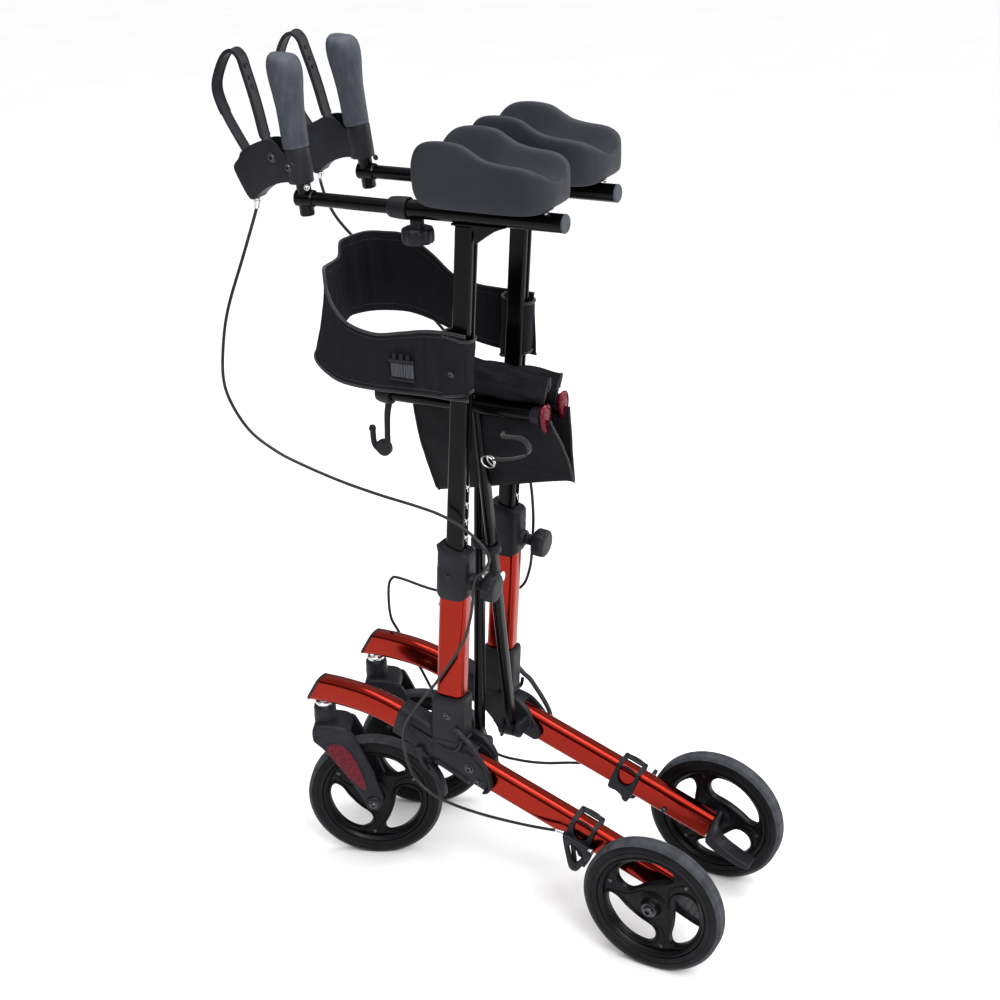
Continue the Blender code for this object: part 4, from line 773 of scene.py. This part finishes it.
def handle_and_lever(s, side, x):
    body = f"{side}_handle"
    foot = Vector((x, HANDLE_Y, HANDLE_Z))
    seam = foot + UP_HANDLE * 0.084
    add(pipe(f"handle_slide_{side}", [(x, HANDLE_Y - 0.002, RAIL_Z), (x, 0.01, RAIL_Z)], 0.009, BLACK, 48),
        body, f"handle_tube_{side}")
    add(lathe(f"handle_upright_{side}", mm((0, -1.5), (8.5, -1.5), (9.5, 0), (9.5, 180), (0, 180)),
        foot, UP_HANDLE, BLACK, 48), body, f"handle_tube_{side}")
    add(lathe(f"handle_joint_{side}", mm((9.6, -13), (11.2, -12), (11.2, 11), (9.6, 13)),
        (x, HANDLE_Y, RAIL_Z), Y_AXIS, BLACK, 48), body)
    screw(f"handle_bolt_{side}", (x + s * 0.0092, -0.222, 1.029), (s, 0, 0), 0.003, body, STEEL)

    # grip: round at its foot, swelling to a bluff head
    rings = []
    profile = mm((0, 10, 0), (0, 15.8, 0), (1.2, 16.6, 0), (4, 16.8, 0), (5.2, 16.3, 0), (6.4, 16.8, 0),
        (30, 17, 0), (50, 17.6, 0.2), (68, 19.4, 0.2), (82, 21.2, 0.2), (93, 22, 0.4), (101, 21.7, 0.8),
        (107, 20.3, 1.2), (111.5, 17.8, 1.6), (114.2, 14.1, 1.8), (116, 8.4, 1.8), (116.6, 1.5, 1))
    fwd = UP_HANDLE.cross(Vector((1, 0, 0))).normalized()
    if fwd.y > 0:
        fwd = -fwd
    for h, r, push in profile:
        c = seam + UP_HANDLE * (h + 0.001) + fwd * (push + 0.0028)
        ring = []
        for k in range(64):
            a = tau * k / 64
            front = max(0.0, cos(a))
            rise = 0.0038 * front * max(0.0, (h - 0.095) / 0.02) if h < 0.116 else 0.0
            ring.append(c + fwd * (r * cos(a) * (1 + 0.03 * front)) + Vector((1, 0,
                0)) * (r * sin(a)) + UP_HANDLE * rise)
        rings.append(ring)
    piece(body, f"hand_grip_{side}", loft, "look", rings, GRIP, 60)

    # lever bracket: two cheeks on a clamp
    outline = mm((-319, 1067.3), (-303, 1077.2), (-283.7, 1084.9), (-268, 1086.5), (-257.5, 1079),
        (-256, 1071.5), (-234, 1070), (-234, 1034.5), (-257.6, 1033.5), (-281.6, 1024.9), (-297, 1014),
        (-302, 1007), (-311.8, 1007), (-329.5, 1040.6), (-331.5, 1049.5), (-320.7, 1060.6))
    core = mm((-327, 1056), (-300, 1045.5), (-272, 1043.5), (-256, 1055), (-248, 1068), (-236, 1068),
        (-236, 1036), (-257.6, 1033.5), (-281.6, 1024.9), (-297, 1014), (-302, 1007), (-311.8, 1007),
        (-329.5, 1040.6))
    name = f"lever_bracket_{side}"
    put = partial(piece, body, name)
    for k, dx in enumerate((-0.0108, 0.0108)):
        put(prism, f"cheek_{k}", outline, 0.0024, x + dx, PLASTIC, 0.0008, soft=2)
    put(prism, "core", core, 0.0205, x, PLASTIC, 0.001, soft=2)
    put(lathe, "clamp", mm((9.7, -43), (15.6, -43), (16.3, -42), (16.3, -1.6), (15.6, 0.6), (9.7, 0.6)),
        seam + fwd * 0.0022, UP_HANDLE, PLASTIC, 64, closed=True)
    screw(f"{name}_pivot", (x + s * 0.0122, -0.2685, 1.0645), (s, 0, 0), 0.005, body)
    put(lathe, "boss", mm((0, 0), (7.8, 0), (7.8, 1.2), (6.6, 2.4), (0, 2.6)),
        (x + s * 0.0148, -0.2412, 1.0552), (s, 0, 0), PLASTIC, 48)
    screw(f"{name}_bolt", (x + s * 0.0172, -0.2412, 1.0552), (s, 0, 0), 0.0042, body)
    add(lathe(f"cable_barrel_{side}", mm((0, 0.5), (3.6, 0.5), (3.6, 3), (4.4, 3.4), (4.4, 7.4), (3.4, 8),
        (3.4, 14), (0, 14)), (x, -0.3069, 1.007), (0, -0.19, -1), STEEL, 32), body)

    # brake lever: a strap bent to a loop on a root that turns on the pin
    lever = f"{side}_brake_lever"
    strap = partial(piece, lever, f"brake_lever_{side}")
    loop = mm((-264, 1066), (-276, 1076), (-285, 1087), (-292, 1120), (-298.5, 1147), (-305, 1170),
        (-310, 1186), (-320, 1193.5), (-333, 1187), (-345, 1168), (-352, 1148), (-349, 1129), (-338, 1105),
        (-318, 1072), (-311, 1064))
    line = spline(loop, 6)
    strap(sweep, "strap", line, rounded(0.0175, 0.0038, 0.0016, 5), x, PLASTIC)
    rib = line[12:-14]
    for k, dx in enumerate((-0.008, 0.008)):
        strap(sweep, f"edge_{k}", rib, rounded(0.0022, 0.0052, 0.001, 3), x + dx, PLASTIC)
    root = mm((-316, 1066), (-304, 1056), (-293, 1051), (-272, 1050), (-259, 1062), (-264, 1070),
        (-276, 1074), (-296, 1070), (-310, 1069))
    strap(prism, "root", root, 0.0172, x, PLASTIC, 0.001, soft=2)
    for k, (y, z) in enumerate(mm((-299.6, 1149), (-302.2, 1160), (-306.6, 1174.5))):
        add(lathe(f"brake_lever_{side}_hole_{k}", mm((0, 2.2), (1.9, 2.2), (2.6, 3), (2.6, 0)),
            (x, y + 0.0006, z), (0, 0.965, 0.26), PLASTIC, 24), lever)


def brake_and_axle(s, side, x):
    body = f"{side}_frame"
    rx, ry, rz = REAR_AXLE
    piece(body, f"rear_axle_{side}", lathe, "look", mm((0, -38), (5.8, -37.8), (6.2, -37), (5, -35.5),
        (5, 0), (0, 0)), (s * rx, ry, rz), (s, 0, 0), BOLT, 32)
    screw(f"axle_head_{side}", (s * 0.1294, ry, rz), (s, 0, 0), 0.0078, body, height=0.0055)

    # clip round the tube: two cheeks with a D-shaped window, joined over and under it
    name = f"brake_bracket_{side}"
    put = partial(piece, body, name)
    mid, along = Vector((0.1375, 0.1579)), Vector((0.936, -0.351))
    normal = Vector((0.351, 0.936))

    def on_tube(pts):
        return [tuple(mid + along * t + normal * n) for t, n in pts]

    edge = on_tube(mm((-18.5, 22), (-16.5, 24), (16.5, 24), (18.5, 22), (18.5, 0), (17.5, -23), (15.5, -32),
        (9, -32), (4, -25), (-6, -22.5), (-15, -24.5), (-20, -22.5), (-19.5, 0)))
    hole = on_tube(mm((-12.5, 23.6), (12.5, 23.6), (12.5, 10), (11, 1), (7, -6), (0, -9), (-7, -6),
        (-11, 1), (-12.5, 10)))
    for k, dx in enumerate((-0.0146, 0.0146)):
        put(prism, f"plate_{k}", edge, 0.0038, x + dx, PLASTIC, 0.0012, [hole], soft=2)
        bar = [tuple(mid + along * t + normal * -0.0135) for t in (-0.018, 0.0, 0.017)]
        put(sweep, f"bar_{k}", bar, rounded(0.0046, 0.006, 0.002, 4), x + dx * 1.1, PLASTIC)
    strip = [tuple(mid + along * t + normal * -0.0222) for t in (-0.0175, 0.0, 0.0175)]
    put(sweep, "foot", strip, rounded(0.031, 0.0034, 0.0015, 4), x, PLASTIC)
    # over the top only a spine and the two end straps are left
    for key, t0, t1, dx, w in (("spine", -0.018, 0.018, -0.0115, 0.0075), ("front",
            -0.0185, -0.0125, 0, 0.031), ("rear", 0.0125, 0.0185, 0, 0.031)):
        strip = [tuple(mid + along * t + normal * 0.0218) for t in (t0, (t0 + t1) / 2, t1)]
        put(sweep, f"{key}", strip, rounded(w, 0.0036, 0.0016, 4), x + dx, PLASTIC)
    put(prism, "arm", mm((124, 150), (130, 148), (133.5, 112), (131, 106.5), (128, 106.5), (126.2, 112)),
        0.0036, x + s * 0.0168, PLASTIC, 0.001)
    screw(f"{name}_pin", (x + s * 0.0255, 0.131, 0.1095), (s, 0, 0), 0.0026, body)
    screw(f"{name}_stop", (x + s * 0.0258, 0.159, 0.1455), (s, 0, 0), 0.003, body, STEEL)
    add(lathe(f"brake_ferrule_{side}", mm((0, 0), (3, 0), (3, 10), (3.8, 10.4), (3.8, 13), (0, 13)),
        (s * 0.0955, 0.1045, 0.1618), (0, 0.99, -0.08), STEEL, 32), body)

    ax, name, arm = x + s * 0.0225, f"brake_arm_{side}", f"{side}_brake_arm"
    press = partial(piece, arm, name)
    press(prism, "frame", mm((115, 156), (118, 159.5), (122, 159), (157, 147), (161, 144), (160, 139.5),
        (139, 107), (133, 103.5), (127, 104.5), (123, 110)), 0.0064, ax, PLASTIC, 0.0018, [mm((122.5, 151),
        (150, 141), (137, 118.5), (128.5, 118))], soft=2)
    press(block, "shoe", (0.018, 0.006, 0.012), (s * 0.113, 0.159, 0.14), PLASTIC, 0.0012, -0.384)
    press(block, "bridge", (0.012, 0.0068, 0.008), (s * 0.101, 0.1575, 0.1405), PLASTIC, 0.001, -0.384)


def caster(s, side):
    body, name = f"{side}_caster", f"caster_fork_{side}"
    place = Matrix.Translation((s * CASTER_X, CASTER_Y, 0)) @ Matrix.Rotation(CASTER_TURN, 4, "Z")
    pieces = [lathe(f"{name}_head", mm((0, 210), (16, 210), (17, 214), (17, 227), (16.3, 229),
        (16.3, 230.5), (16.9, 231.8), (16.3, 233.1), (16.3, 234.6), (16.9, 235.9), (16.3, 237.2),
        (16.3, 238.7), (16.8, 240), (16.3, 243), (16, 253), (15.2, 256), (13.5, 257.5), (0, 257.5)),
        ORIGIN, Z_AXIS, PLASTIC, 64)]
    pieces.append(lathe(f"{name}_bearing", mm((0, 257.2), (12.5, 257.2), (13, 258), (13, 262.5),
        (11.2, 264), (0, 264)), ORIGIN, Z_AXIS, STEEL, 48))
    pieces.append(pipe(f"{name}_stem", [(0, 0, 0.26), (0, 0, 0.2718)], 0.0093, STEEL, 32))
    pieces.append(prism(f"{name}_crown", mm((-18, 226), (-18.5, 207), (-9, 196.5), (4, 194), (20, 201),
        (35, 208), (38, 220), (28, 231), (-11, 233)), 0.052, 0.0, PLASTIC, 0.0045, soft=2, segments=5))
    arm = mm((-16, 215), (-18, 207.3), (-6, 196), (-2.4, 191.5), (16, 164.5), (33.3, 136.6), (43, 118),
        (49.9, 102.9), (56, 93), (64.5, 89.5), (73.5, 93), (79, 103), (77.9, 116.9), (68, 150), (56, 183.8),
        (44, 213), (36, 227))
    leaf = mm((3, 200), (15, 204), (30, 198.5), (42, 179), (51, 154), (56, 126), (51.5, 123), (33, 143),
        (12, 174), (2, 192))
    mid = (0.029, 0.168)
    rim = [((a - mid[0]) * 1.12 + mid[0], (b - mid[1]) * 1.07 + mid[1]) for a, b in leaf]
    for k, dx in enumerate((-0.0225, 0.0225)):
        pieces.append(prism(f"{name}_arm_{k}", arm, 0.008, dx, PLASTIC, 0.0022, soft=2, segments=4))
        out = 1 if dx > 0 else -1
        pieces.append(prism(f"{name}_bezel_{k}", rim, 0.0014, dx + out * 0.0042, PLASTIC, 0.0006, soft=2))
        pieces.append(lathe(f"{name}_boss_{k}", mm((0, 0), (11.8, 0), (11.8, 2.2), (10.6, 3.4), (0, 3.6)),
            (dx + out * 0.0034, CASTER_TRAIL, WHEEL_R), (out, 0, 0), PLASTIC, 48))
    for obj in pieces:
        obj.data.transform(place)
        add(obj, body, name)
    # leaf-shaped lens with a ridge down its middle
    ridge = prism(f"fork_reflector_{side}_look", leaf, 0.0024, s * 0.0268, LENS, 0.0007, soft=2)
    ridge.data.transform(place)
    add(ridge, body, f"fork_reflector_{side}")
    bm = bmesh.new()
    rows = []
    pts = [Vector((a, b)) for a, b in softened(leaf, 2)]
    c = sum(pts, Vector((0, 0))) / len(pts)
    long = Vector((0.052, -0.077)).normalized()
    for f, out in ((0.93, 0.0012), (0.6, 0.0019), (0.22, 0.0026)):
        ring = []
        for p in pts:
            along = (p - c).dot(long)
            q = c + long * along * (0.5 + 0.5 * f) + (p - c - long * along) * f
            ring.append(bm.verts.new(place @ Vector((s * (0.0268 + out), q.x, q.y))))
        rows.append(ring)
    for a, b in zip(rows, rows[1:]):
        for k in range(len(a)):
            bm.faces.new((a[k], a[(k + 1) % len(a)], b[(k + 1) % len(b)], b[k]))
    bm.faces.new(rows[-1])
    add(to_object(f"fork_lens_{side}", bm, LENS, 20), body, f"fork_reflector_{side}")
    at = place @ Vector((s * 0.0298, CASTER_TRAIL, WHEEL_R))
    screw(f"fork_bolt_{side}", at, place.to_3x3() @ Vector((s, 0, 0)), 0.0052, body)
    wheel(s, f"front_wheel_{side}", f"{side}_front_wheel", place @ Matrix.Translation((0, CASTER_TRAIL,
        WHEEL_R)), 44)


# ---- cross brace and seat rails ----------------------------------------------
def brace(name, body, s, y):
    foot, top = Vector((s * FOOT_X, y, FOOT_Z)), Vector((-s * FOOT_X, y, SEAT_Z))
    run = (top - foot).normalized()
    across = Vector((run.z, 0, -run.x))
    oval = rounded(0.019, 0.013, 0.0062, 8)
    span = (top - foot).length
    put = partial(piece, body, name)
    put(loft, "tube", [[foot + run * t + across * u + Vector((0, v, 0)) for u, v in oval]
        for t in (0.006, span * 0.5, span)], BLACK)
    put(lathe, "eye", both(mm((4.9, -6.5), (10.8, -6.5), (11.6, -5.8))),
        foot, Y_AXIS, PLASTIC, 48, closed=True)
    add(lathe(f"{name}_ring", both(mm((8, -6), (11.8, -6), (12.4, -5))),
        foot + run * 0.305, run, PLASTIC, 48, closed=True), body)
    put(lathe, "seat_rail", mm((0, -166), (8.8, -166), (9.6, -165.2), (9.6, 64), (0, 64)),
        (-s * FOOT_X, 0, SEAT_Z), Y_AXIS, BLACK, 64)
    put(lathe, "rail_end", mm((0, 56), (10.1, 56), (11.6, 60), (12, 70), (0, 72)), (-s * FOOT_X, 0, SEAT_Z),
        Y_AXIS, PLASTIC, 48)


def middle_hardware():
    brace("brace_a", "brace_a", 1, BRACE_A_Y)
    brace("brace_b", "brace_b", -1, BRACE_B_Y)
    piece("brace_a", "cross_bolt", lathe, "look", mm((0, -61.2), (6.6, -61.2), (8, -60), (8, -56),
        (4.3, -56), (4.3, -41.5), (8, -41.5), (8, -32.5), (4.3, -32.5), (4.3, -18), (7.8, -18),
        (7.8, -13.5), (0, -13)), (0, 0, CROSS_Z), Y_AXIS, STEEL, 32)
    outline = mm((-13, 10), (-8, 16), (8, 16), (13, 10), (13, 0), (8, -16), (3, -22.5), (-3, -22.5),
        (-8, -16), (-13, 0))
    pts = softened(outline, 3)
    for name, s, body in (("seat_reflector_left", 1, "brace_b"), ("seat_reflector_right", -1, "brace_a")):
        rings = []
        for grow, y in ((0.9, 0.0722), (1.0, 0.073), (1.0, 0.0752), (0.94, 0.0766), (0.78, 0.0776),
                (0.74, 0.0764), (0.2, 0.0782)):
            rings.append([(s * FOOT_X + u * grow, y, SEAT_Z - 0.004 + (v + 0.004) * grow) for u, v in pts])
        piece(body, name, loft, "look", rings, LENS, 25)
    hook = mm((-160, 729), (-164, 710), (-166, 685), (-168, 664), (-178, 656), (-188, 664), (-189.5, 685))
    line = spline([(FOOT_X, y, z) for y, z in hook], 8)
    hook_part = partial(piece, "brace_b", "cane_hook")
    hook_part(pipe, "wire", line, [0.004 + 0.0008 * max(0, 1 - k / 12) for k in range(len(line))],
        PLASTIC, 24)
    hook_part(lathe, "ball", mm((0, -5.2), (3.6, -4.6), (5.2, 0), (3.6, 4.6), (0, 5.2)),
        (FOOT_X, -0.1895, 0.686), Z_AXIS, PLASTIC, 32, 80)
    hook_part(lathe, "disc", both(mm((0, -4.5), (10, -4.5), (11.8, -3))), (FOOT_X, -0.173, 0.661),
        X_AXIS, PLASTIC, 48)
    hook_part(lathe, "clip", mm((9.7, -174), (12.2, -174), (13.8, -170), (14.5, -164), (14.5, -153),
        (13.5, -152), (9.7, -152)), (FOOT_X, 0, SEAT_Z), Y_AXIS, PLASTIC, 48, closed=True)


# ---- soft goods --------------------------------------------------------------
def cloth(name, rows, thick, mats, wrap=False):
    """Thin closed sheet through rows of points, `thick` metres through."""
    bm = bmesh.new()
    grid = [[bm.verts.new(p) for p in row] for row in rows]
    for a, b in zip(grid, grid[1:]):
        n = len(a)
        for k in range(n if wrap else n - 1):
            bm.faces.new((a[k], a[(k + 1) % n], b[(k + 1) % n], b[k]))
    bmesh.ops.recalc_face_normals(bm, faces=bm.faces)
    bm.normal_update()
    area = sum(f.calc_area() for f in bm.faces)
    normals = {v: v.normal.copy() for v in bm.verts}
    faces, edges = list(bm.faces), [e for e in bm.edges if len(e.link_faces) == 1]
    back = {v: bm.verts.new(v.co - normals[v] * thick) for v in list(bm.verts)}
    for f in faces:
        bm.faces.new([back[v] for v in reversed(f.verts)])
    for e in edges:
        a, b = e.verts
        bm.faces.new((a, b, back[b], back[a]))
    return to_object(name, bm, mats, 70), area


def held(obj, hold, *nodes):
    """Cloth or trim baked in place where it is made, standing for CAD nodes; it rides no body, and `hold`
    is not used.
    """
    if nodes:
        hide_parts(*nodes)
    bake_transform(obj)
    return obj


# x, y, lower edge, upper edge, lean: from the left post forward, round, and back
BAND = mm((94, 2, 777.5, 862.5, 0), (95.5, -30, 777.5, 865, 0), (95.5, -60, 778, 862.5, 1),
    (95, -90, 777.5, 856.5, 2), (93.5, -136, 776.5, 848, 5), (88, -183, 779, 854, 9),
    (77, -213, 787, 869, 11), (61, -234, 795, 885, 11), (47, -243, 800, 902, 9), (30, -248, 803, 906, 4),
    (8, -252, 805, 904, 0), (-20, -257, 808, 903, 0), (-32, -260, 810, 906, 0), (-39, -261.5, 812, 920, 0),
    (-52, -260, 816, 923, 0), (-74, -244, 817, 927, 0), (-87, -220, 817, 926, 0), (-92, -190, 816, 923, 0),
    (-94, -155, 808, 902, 0), (-95, -120, 795, 874, 0), (-95.5, -85, 784.5, 864, 0),
    (-95.5, -50, 779, 862, 0), (-95.5, -20, 778, 862, 0), (-94, 2, 777.5, 862, 0))


def backrest():
    plan = spline([(x, y, lean) for x, y, _, _, lean in BAND], 8)
    edge = spline([(lo, hi) for _, _, lo, hi, _ in BAND], 8)
    route = [(p.x, p.y, e.x, e.y, p.z) for p, e in zip(plan, edge)]
    n = len(route)
    rows = []
    for i, (x, y, lo, hi, lean) in enumerate(route):
        a, b = route[max(i - 1, 0)], route[min(i + 1, n - 1)]
        out = Vector((-(b[1] - a[1]), b[0] - a[0], 0)).normalized()
        front = max(0.0, min(1.0, (-0.16 - y) / 0.08))
        row = []
        for k in range(25):
            t = k / 24
            # the padded panel on the far side hangs in loose upright folds
            panel = max(0.0, min(1.0, (-0.03 - x) / 0.02)) * front
            fold = sin(i * 0.62 + 1.6 * sin(i * 0.21) + 0.9 * t)
            pleat = (0.0008 * (1 - panel) * sin(i * 1.25) + 0.0034 * panel * fold) * sin(pi * t) ** 0.6
            belly = 0.0024 * sin(pi * t) * front
            rough = 0.0012 * noise.noise(Vector((i * 0.1, t * 2.2, 4.1)))
            row.append(Vector((x, y,
                lo + (hi - lo) * t)) + out * (lean * (1 - 2 * t) - belly - pleat - rough))
        rows.append(row)
    band, area = cloth("backrest_band_look", rows, 0.0022, WEB)
    hold = ("left_post", "right_post", (0.085, 0, 0.82), (-0.085, 0, 0.82))
    held(band, hold, "backrest_band")
    # bound edges with their stitch lines
    for key, t, r in (("top", -1, 0.0021), ("foot", 0, 0.0019)):
        held(pipe(f"band_binding_{key}", [row[t] for row in rows], r, BIND, 10), hold)
    for key, k in (("top", 22), ("foot", 2)):
        bm = bmesh.new()
        for here, ahead in zip(rows, rows[1:]):
            for q in (0.0, 0.5):
                a, b = here[k].lerp(ahead[k], q), here[k].lerp(ahead[k], q + 0.3)
                along = b - a
                if along.length < 1e-5:
                    continue
                side_dir = along.cross(Vector((0, 0, 1))).normalized() * 0.0004
                up = Vector((0, 0, 0.0004))
                for off in (side_dir * -1.0, side_dir * 6.6):
                    bm.faces.new([bm.verts.new(p + off + u) for p, u in ((a, -up), (b, -up), (b, up),
                        (a, up))])
        held(to_object(f"band_stitch_{key}", bm, THREAD, 30), hold)

    # sleeves that wrap the posts, with piped rims and a screw
    for s, side in ((1, "left"), (-1, "right")):
        rings, rows = [], []
        for k in range(17):
            t = k / 16
            z = 0.779 + 0.0815 * t
            swell = 0.0006 * sin(pi * t) + 0.0005 * sin(9 * t)
            ring = []
            for u, v in rounded(0.029 + 2 * swell, 0.042 + 2 * swell, 0.0125, 10):
                rear = 0.5 + v / 0.042
                ring.append(Vector((s * 0.0815 + u, post_y(z) - 0.003 + v,
                    z + rear * 0.005 * (1 - 2 * t) + 0.002 * cos(3 * rear) * (t - 0.5))))
            rows.append(ring)
        piece, area = cloth(f"post_sleeve_{side}", rows, 0.002, WEB, wrap=True)
        add(piece, f"{side}_post")
        for key, row in (("top", rows[-1]), ("foot", rows[0])):
            add(pipe(f"sleeve_piping_{side}_{key}", row + row[:1], 0.0019, BIND, 10, False),
                f"{side}_post")
        screw(f"sleeve_screw_{side}", (s * 0.0966, -0.019, 0.8115), (s, 0, 0), 0.0034, f"{side}_post")

    # ladder-lock adjuster on the near band
    for k in range(9):
        add(block(f"adjuster_web_{k}", (0.0034, 0.0034, 0.02), (0.0985, -0.104 + 0.0036 * k, 0.808),
            WEBBING, 0.0011), "left_post")
    add(block("adjuster_bar_top", (0.006, 0.038, 0.004), (0.0985, -0.09, 0.8205), PLASTIC, 0.0014),
        "left_post")
    add(block("adjuster_bar_foot", (0.006, 0.038, 0.0036), (0.0985, -0.09, 0.7955), PLASTIC, 0.0014),
        "left_post")
    for k in range(3):
        add(block(f"adjuster_tooth_{k}", (0.004, 0.005, 0.008), (0.0985, -0.1 + 0.01 * k, 0.826),
            PLASTIC, 0.001), "left_post")


def seat():
    hold = ("brace_b", "brace_a", (FOOT_X, 0, SEAT_Z), (-FOOT_X, 0, SEAT_Z))
    # roll of mesh cloth on top of each rail, leaning apart at the back
    for s, side, body in ((1, "left", "brace_b"), (-1, "right", "brace_a")):
        rings = []
        drop = 0.0 if s > 0 else 0.005
        for i in range(65):
            t = i / 64
            y = -0.115 + 0.19 * t
            shut = max(0.0, (t - 0.86) / 0.14) ** 1.5        # the end is folded nearly flat
            ring = []
            for k in range(48):
                a = tau * k / 48
                wide = 0.014 * (1 - 0.72 * shut)
                u = 0.0165 + 0.005 * shut * s + wide * cos(a) * (1 + 0.12 * sin(a))
                v = 0.7765 - drop + 0.0195 * sin(a) - 0.003 * t
                wob = 0.0022 * noise.noise(Vector((t * 7, cos(a) * 1.4, sin(a) * 1.4 + s)))
                fold = 0.0011 * sin(4 * a + 9 * t) + 0.0009 * sin(23 * t + 2 * a)
                ring.append((s * (u + wob + fold * cos(a)), y + 0.005 * sin(a) * shut,
                    v + wob + fold * sin(a)))
            rings.append(ring)
        roll = add(loft(f"seat_roll_{side}", rings, POUCH, 60), body, "seat_fabric")
        add(pipe(f"seat_roll_hem_{side}", [Vector(p) + Vector((0, 0.0006, 0)) for p in rings[-1][:25]],
            0.0013, BIND, 8), body)

    # pouch that hangs between the rails
    rows = []
    for i in range(49):
        t = i / 48
        row = []
        for k in range(33):
            q = k / 32 * 2 - 1                  # -1 right rail, 0 the bottom fold, 1 left rail
            d = 1 - abs(q)                      # depth below the rail, 0..1
            y_top = -0.121 + 0.203 * t
            y_low = -0.106 + 0.206 * t
            low = 0.599 + 0.046 * min(1.0, t * 1.05)
            z = SEAT_Z - 0.004 + (low - SEAT_Z + 0.004) * (d ** 0.85)
            y = y_top + (y_low - y_top) * d + 0.003 * sin(pi * d) * max(0.0, (t - 0.7) / 0.3)
            pinch = max(0.0, (t - 0.55) / 0.45)
            half = 0.026 * (1 - d) ** (0.75 + 1.3 * pinch) + 0.0012
            half += 0.006 * sin(pi * d) * (0.6 + 0.6 * t) * (1 - 0.75 * pinch)
            wob = 0.003 * noise.noise(Vector((t * 3.1, q * 2.2, 1.7))) + 0.0012 * noise.noise(Vector((t * 9,
                q * 7, 3)))
            row.append(Vector((half * (1 if q > 0 else -1) + wob if abs(q) > 1e-6 else wob, y, z)))
        rows.append(row)
    bag, area = cloth("seat_pouch", rows, 0.0011, POUCH)
    held(bag, hold, "seat_fabric")
    edges = [held(pipe(f"pouch_binding_{key}", row, 0.0015, BIND, 8), hold) for key, row in (("front",
        rows[0]), ("rear", rows[-1]))]

    # pull strap with its ring
    pull = spline(mm((30, 13, 712), (45, 24.4, 714.9), (44, 46.4, 715.3), (44, 57, 708.6),
        (45, 58.7, 697.5), (47, 47.5, 690.3), (47, 25.2, 683.7), (45, 7.2, 680.8)), 6)
    rings = []
    for i, p in enumerate(pull):
        run = (pull[min(i + 1, len(pull) - 1)] - pull[max(i - 1, 0)]).normalized()
        flat = run.cross(Vector((1, 0, 0))).normalized()
        rings.append([p + Vector((v, 0, 0)) + flat * u for u, v in rounded(0.0022, 0.011, 0.001, 2)])
    add(loft("seat_pull_strap", rings, BIND, 50), "brace_b")
    for k, (cy, cz, r) in enumerate(((-0.002, 0.6748, 0.0092), (0.003, 0.678, 0.007))):
        ring = [Vector((0.045 + 0.003 * sin(a + k), cy + r * cos(a), cz + r * sin(a)))
            for a in (tau * q / 32 for q in range(33))]
        add(pipe(f"seat_pull_ring_{k}", ring, 0.0011, STEEL, 12, False), "brace_b")


# ---- brake cables ------------------------------------------------------------
LEFT = mm((73.5, -306.9, 1006.6), (74, -309.5, 993), (84, -330, 933), (106, -348, 864), (118, -354, 815),
    (125, -354.5, 768), (124, -345, 732), (117, -325, 695), (110, -293, 670), (104, -259, 654),
    (100, -199, 637), (100, -137, 627), (100, -85, 621), (98, -50, 614), (96, -20, 602), (93, 6, 582),
    (91.5, 19, 560), (90.5, 10, 540), (90.5, -2, 528), (91, -7, 512), (92, -9, 492), (95, -12, 468),
    (97.5, -21, 436), (98, -41, 400), (98, -71, 355), (100, -108, 304), (101, -127, 268), (101, -128, 228),
    (100, -117, 194), (99, -92, 171), (98, -60, 161), (97.5, -20, 157), (97, 20, 156.5), (96.5, 60, 158),
    (95.8, 88, 160), (95.5, 106, 162))
RIGHT = mm((-73.5, -306.9, 1006.6), (-74, -308, 990), (-80, -300, 955), (-90, -280, 920), (-112, -230, 860),
    (-118, -150, 780), (-112, -80, 700), (-104, -30, 630), (-100, -18, 589), (-98, -14, 540),
    (-96, -16, 494), (-97, -23, 448), (-100, -42, 413), (-102, -90, 390), (-102, -140, 381),
    (-101, -190, 380), (-100, -245, 388), (-98.5, -259, 385), (-97, -265, 366), (-97, -265, 322),
    (-98, -253, 296), (-97.5, -218, 240), (-94, -185, 188), (-97, -145, 145), (-100, -95, 119),
    (-99, -54, 118), (-98, -11, 125), (-97, 30, 137), (-96, 75, 149), (-95.5, 106, 162))


def cables():
    for side, route, split in (("left", LEFT, 12), ("right", RIGHT, 7)):
        line = spline(route, 8)
        cut = split * 8
        upper = pipe(f"brake_cable_{side}_upper", line[:cut + 1], 0.0021, JACKET, 16)
        lower = pipe(f"brake_cable_{side}_lower", line[cut:], 0.0021, JACKET, 16)
        for obj in (upper, lower):
            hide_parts(f"brake_cable_{side}")
        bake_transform(upper)
        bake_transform(lower)


for sign, word in ((1, "left"), (-1, "right")):
    fx = sign * FRAME_X
    base_and_hinge(sign, word, fx)
    post_and_knob(sign, word, fx)
    rail_and_pad(sign, word, fx)
    handle_and_lever(sign, word, fx)
    brake_and_axle(sign, word, fx)
    caster(sign, word)
    wheel(sign, f"rear_wheel_{word}", f"{word}_rear_wheel", Matrix.Translation((sign * REAR_AXLE[0],
        *REAR_AXLE[1:])), 60 if sign > 0 else 5)
middle_hardware()
backrest()
seat()
cables()

# ---- floor -------------------------------------------------------------------
bm = bmesh.new()
bmesh.ops.create_grid(bm, x_segments=2, y_segments=2, size=30.0)
plane = to_object("floor", bm, FLOOR, flat=True)
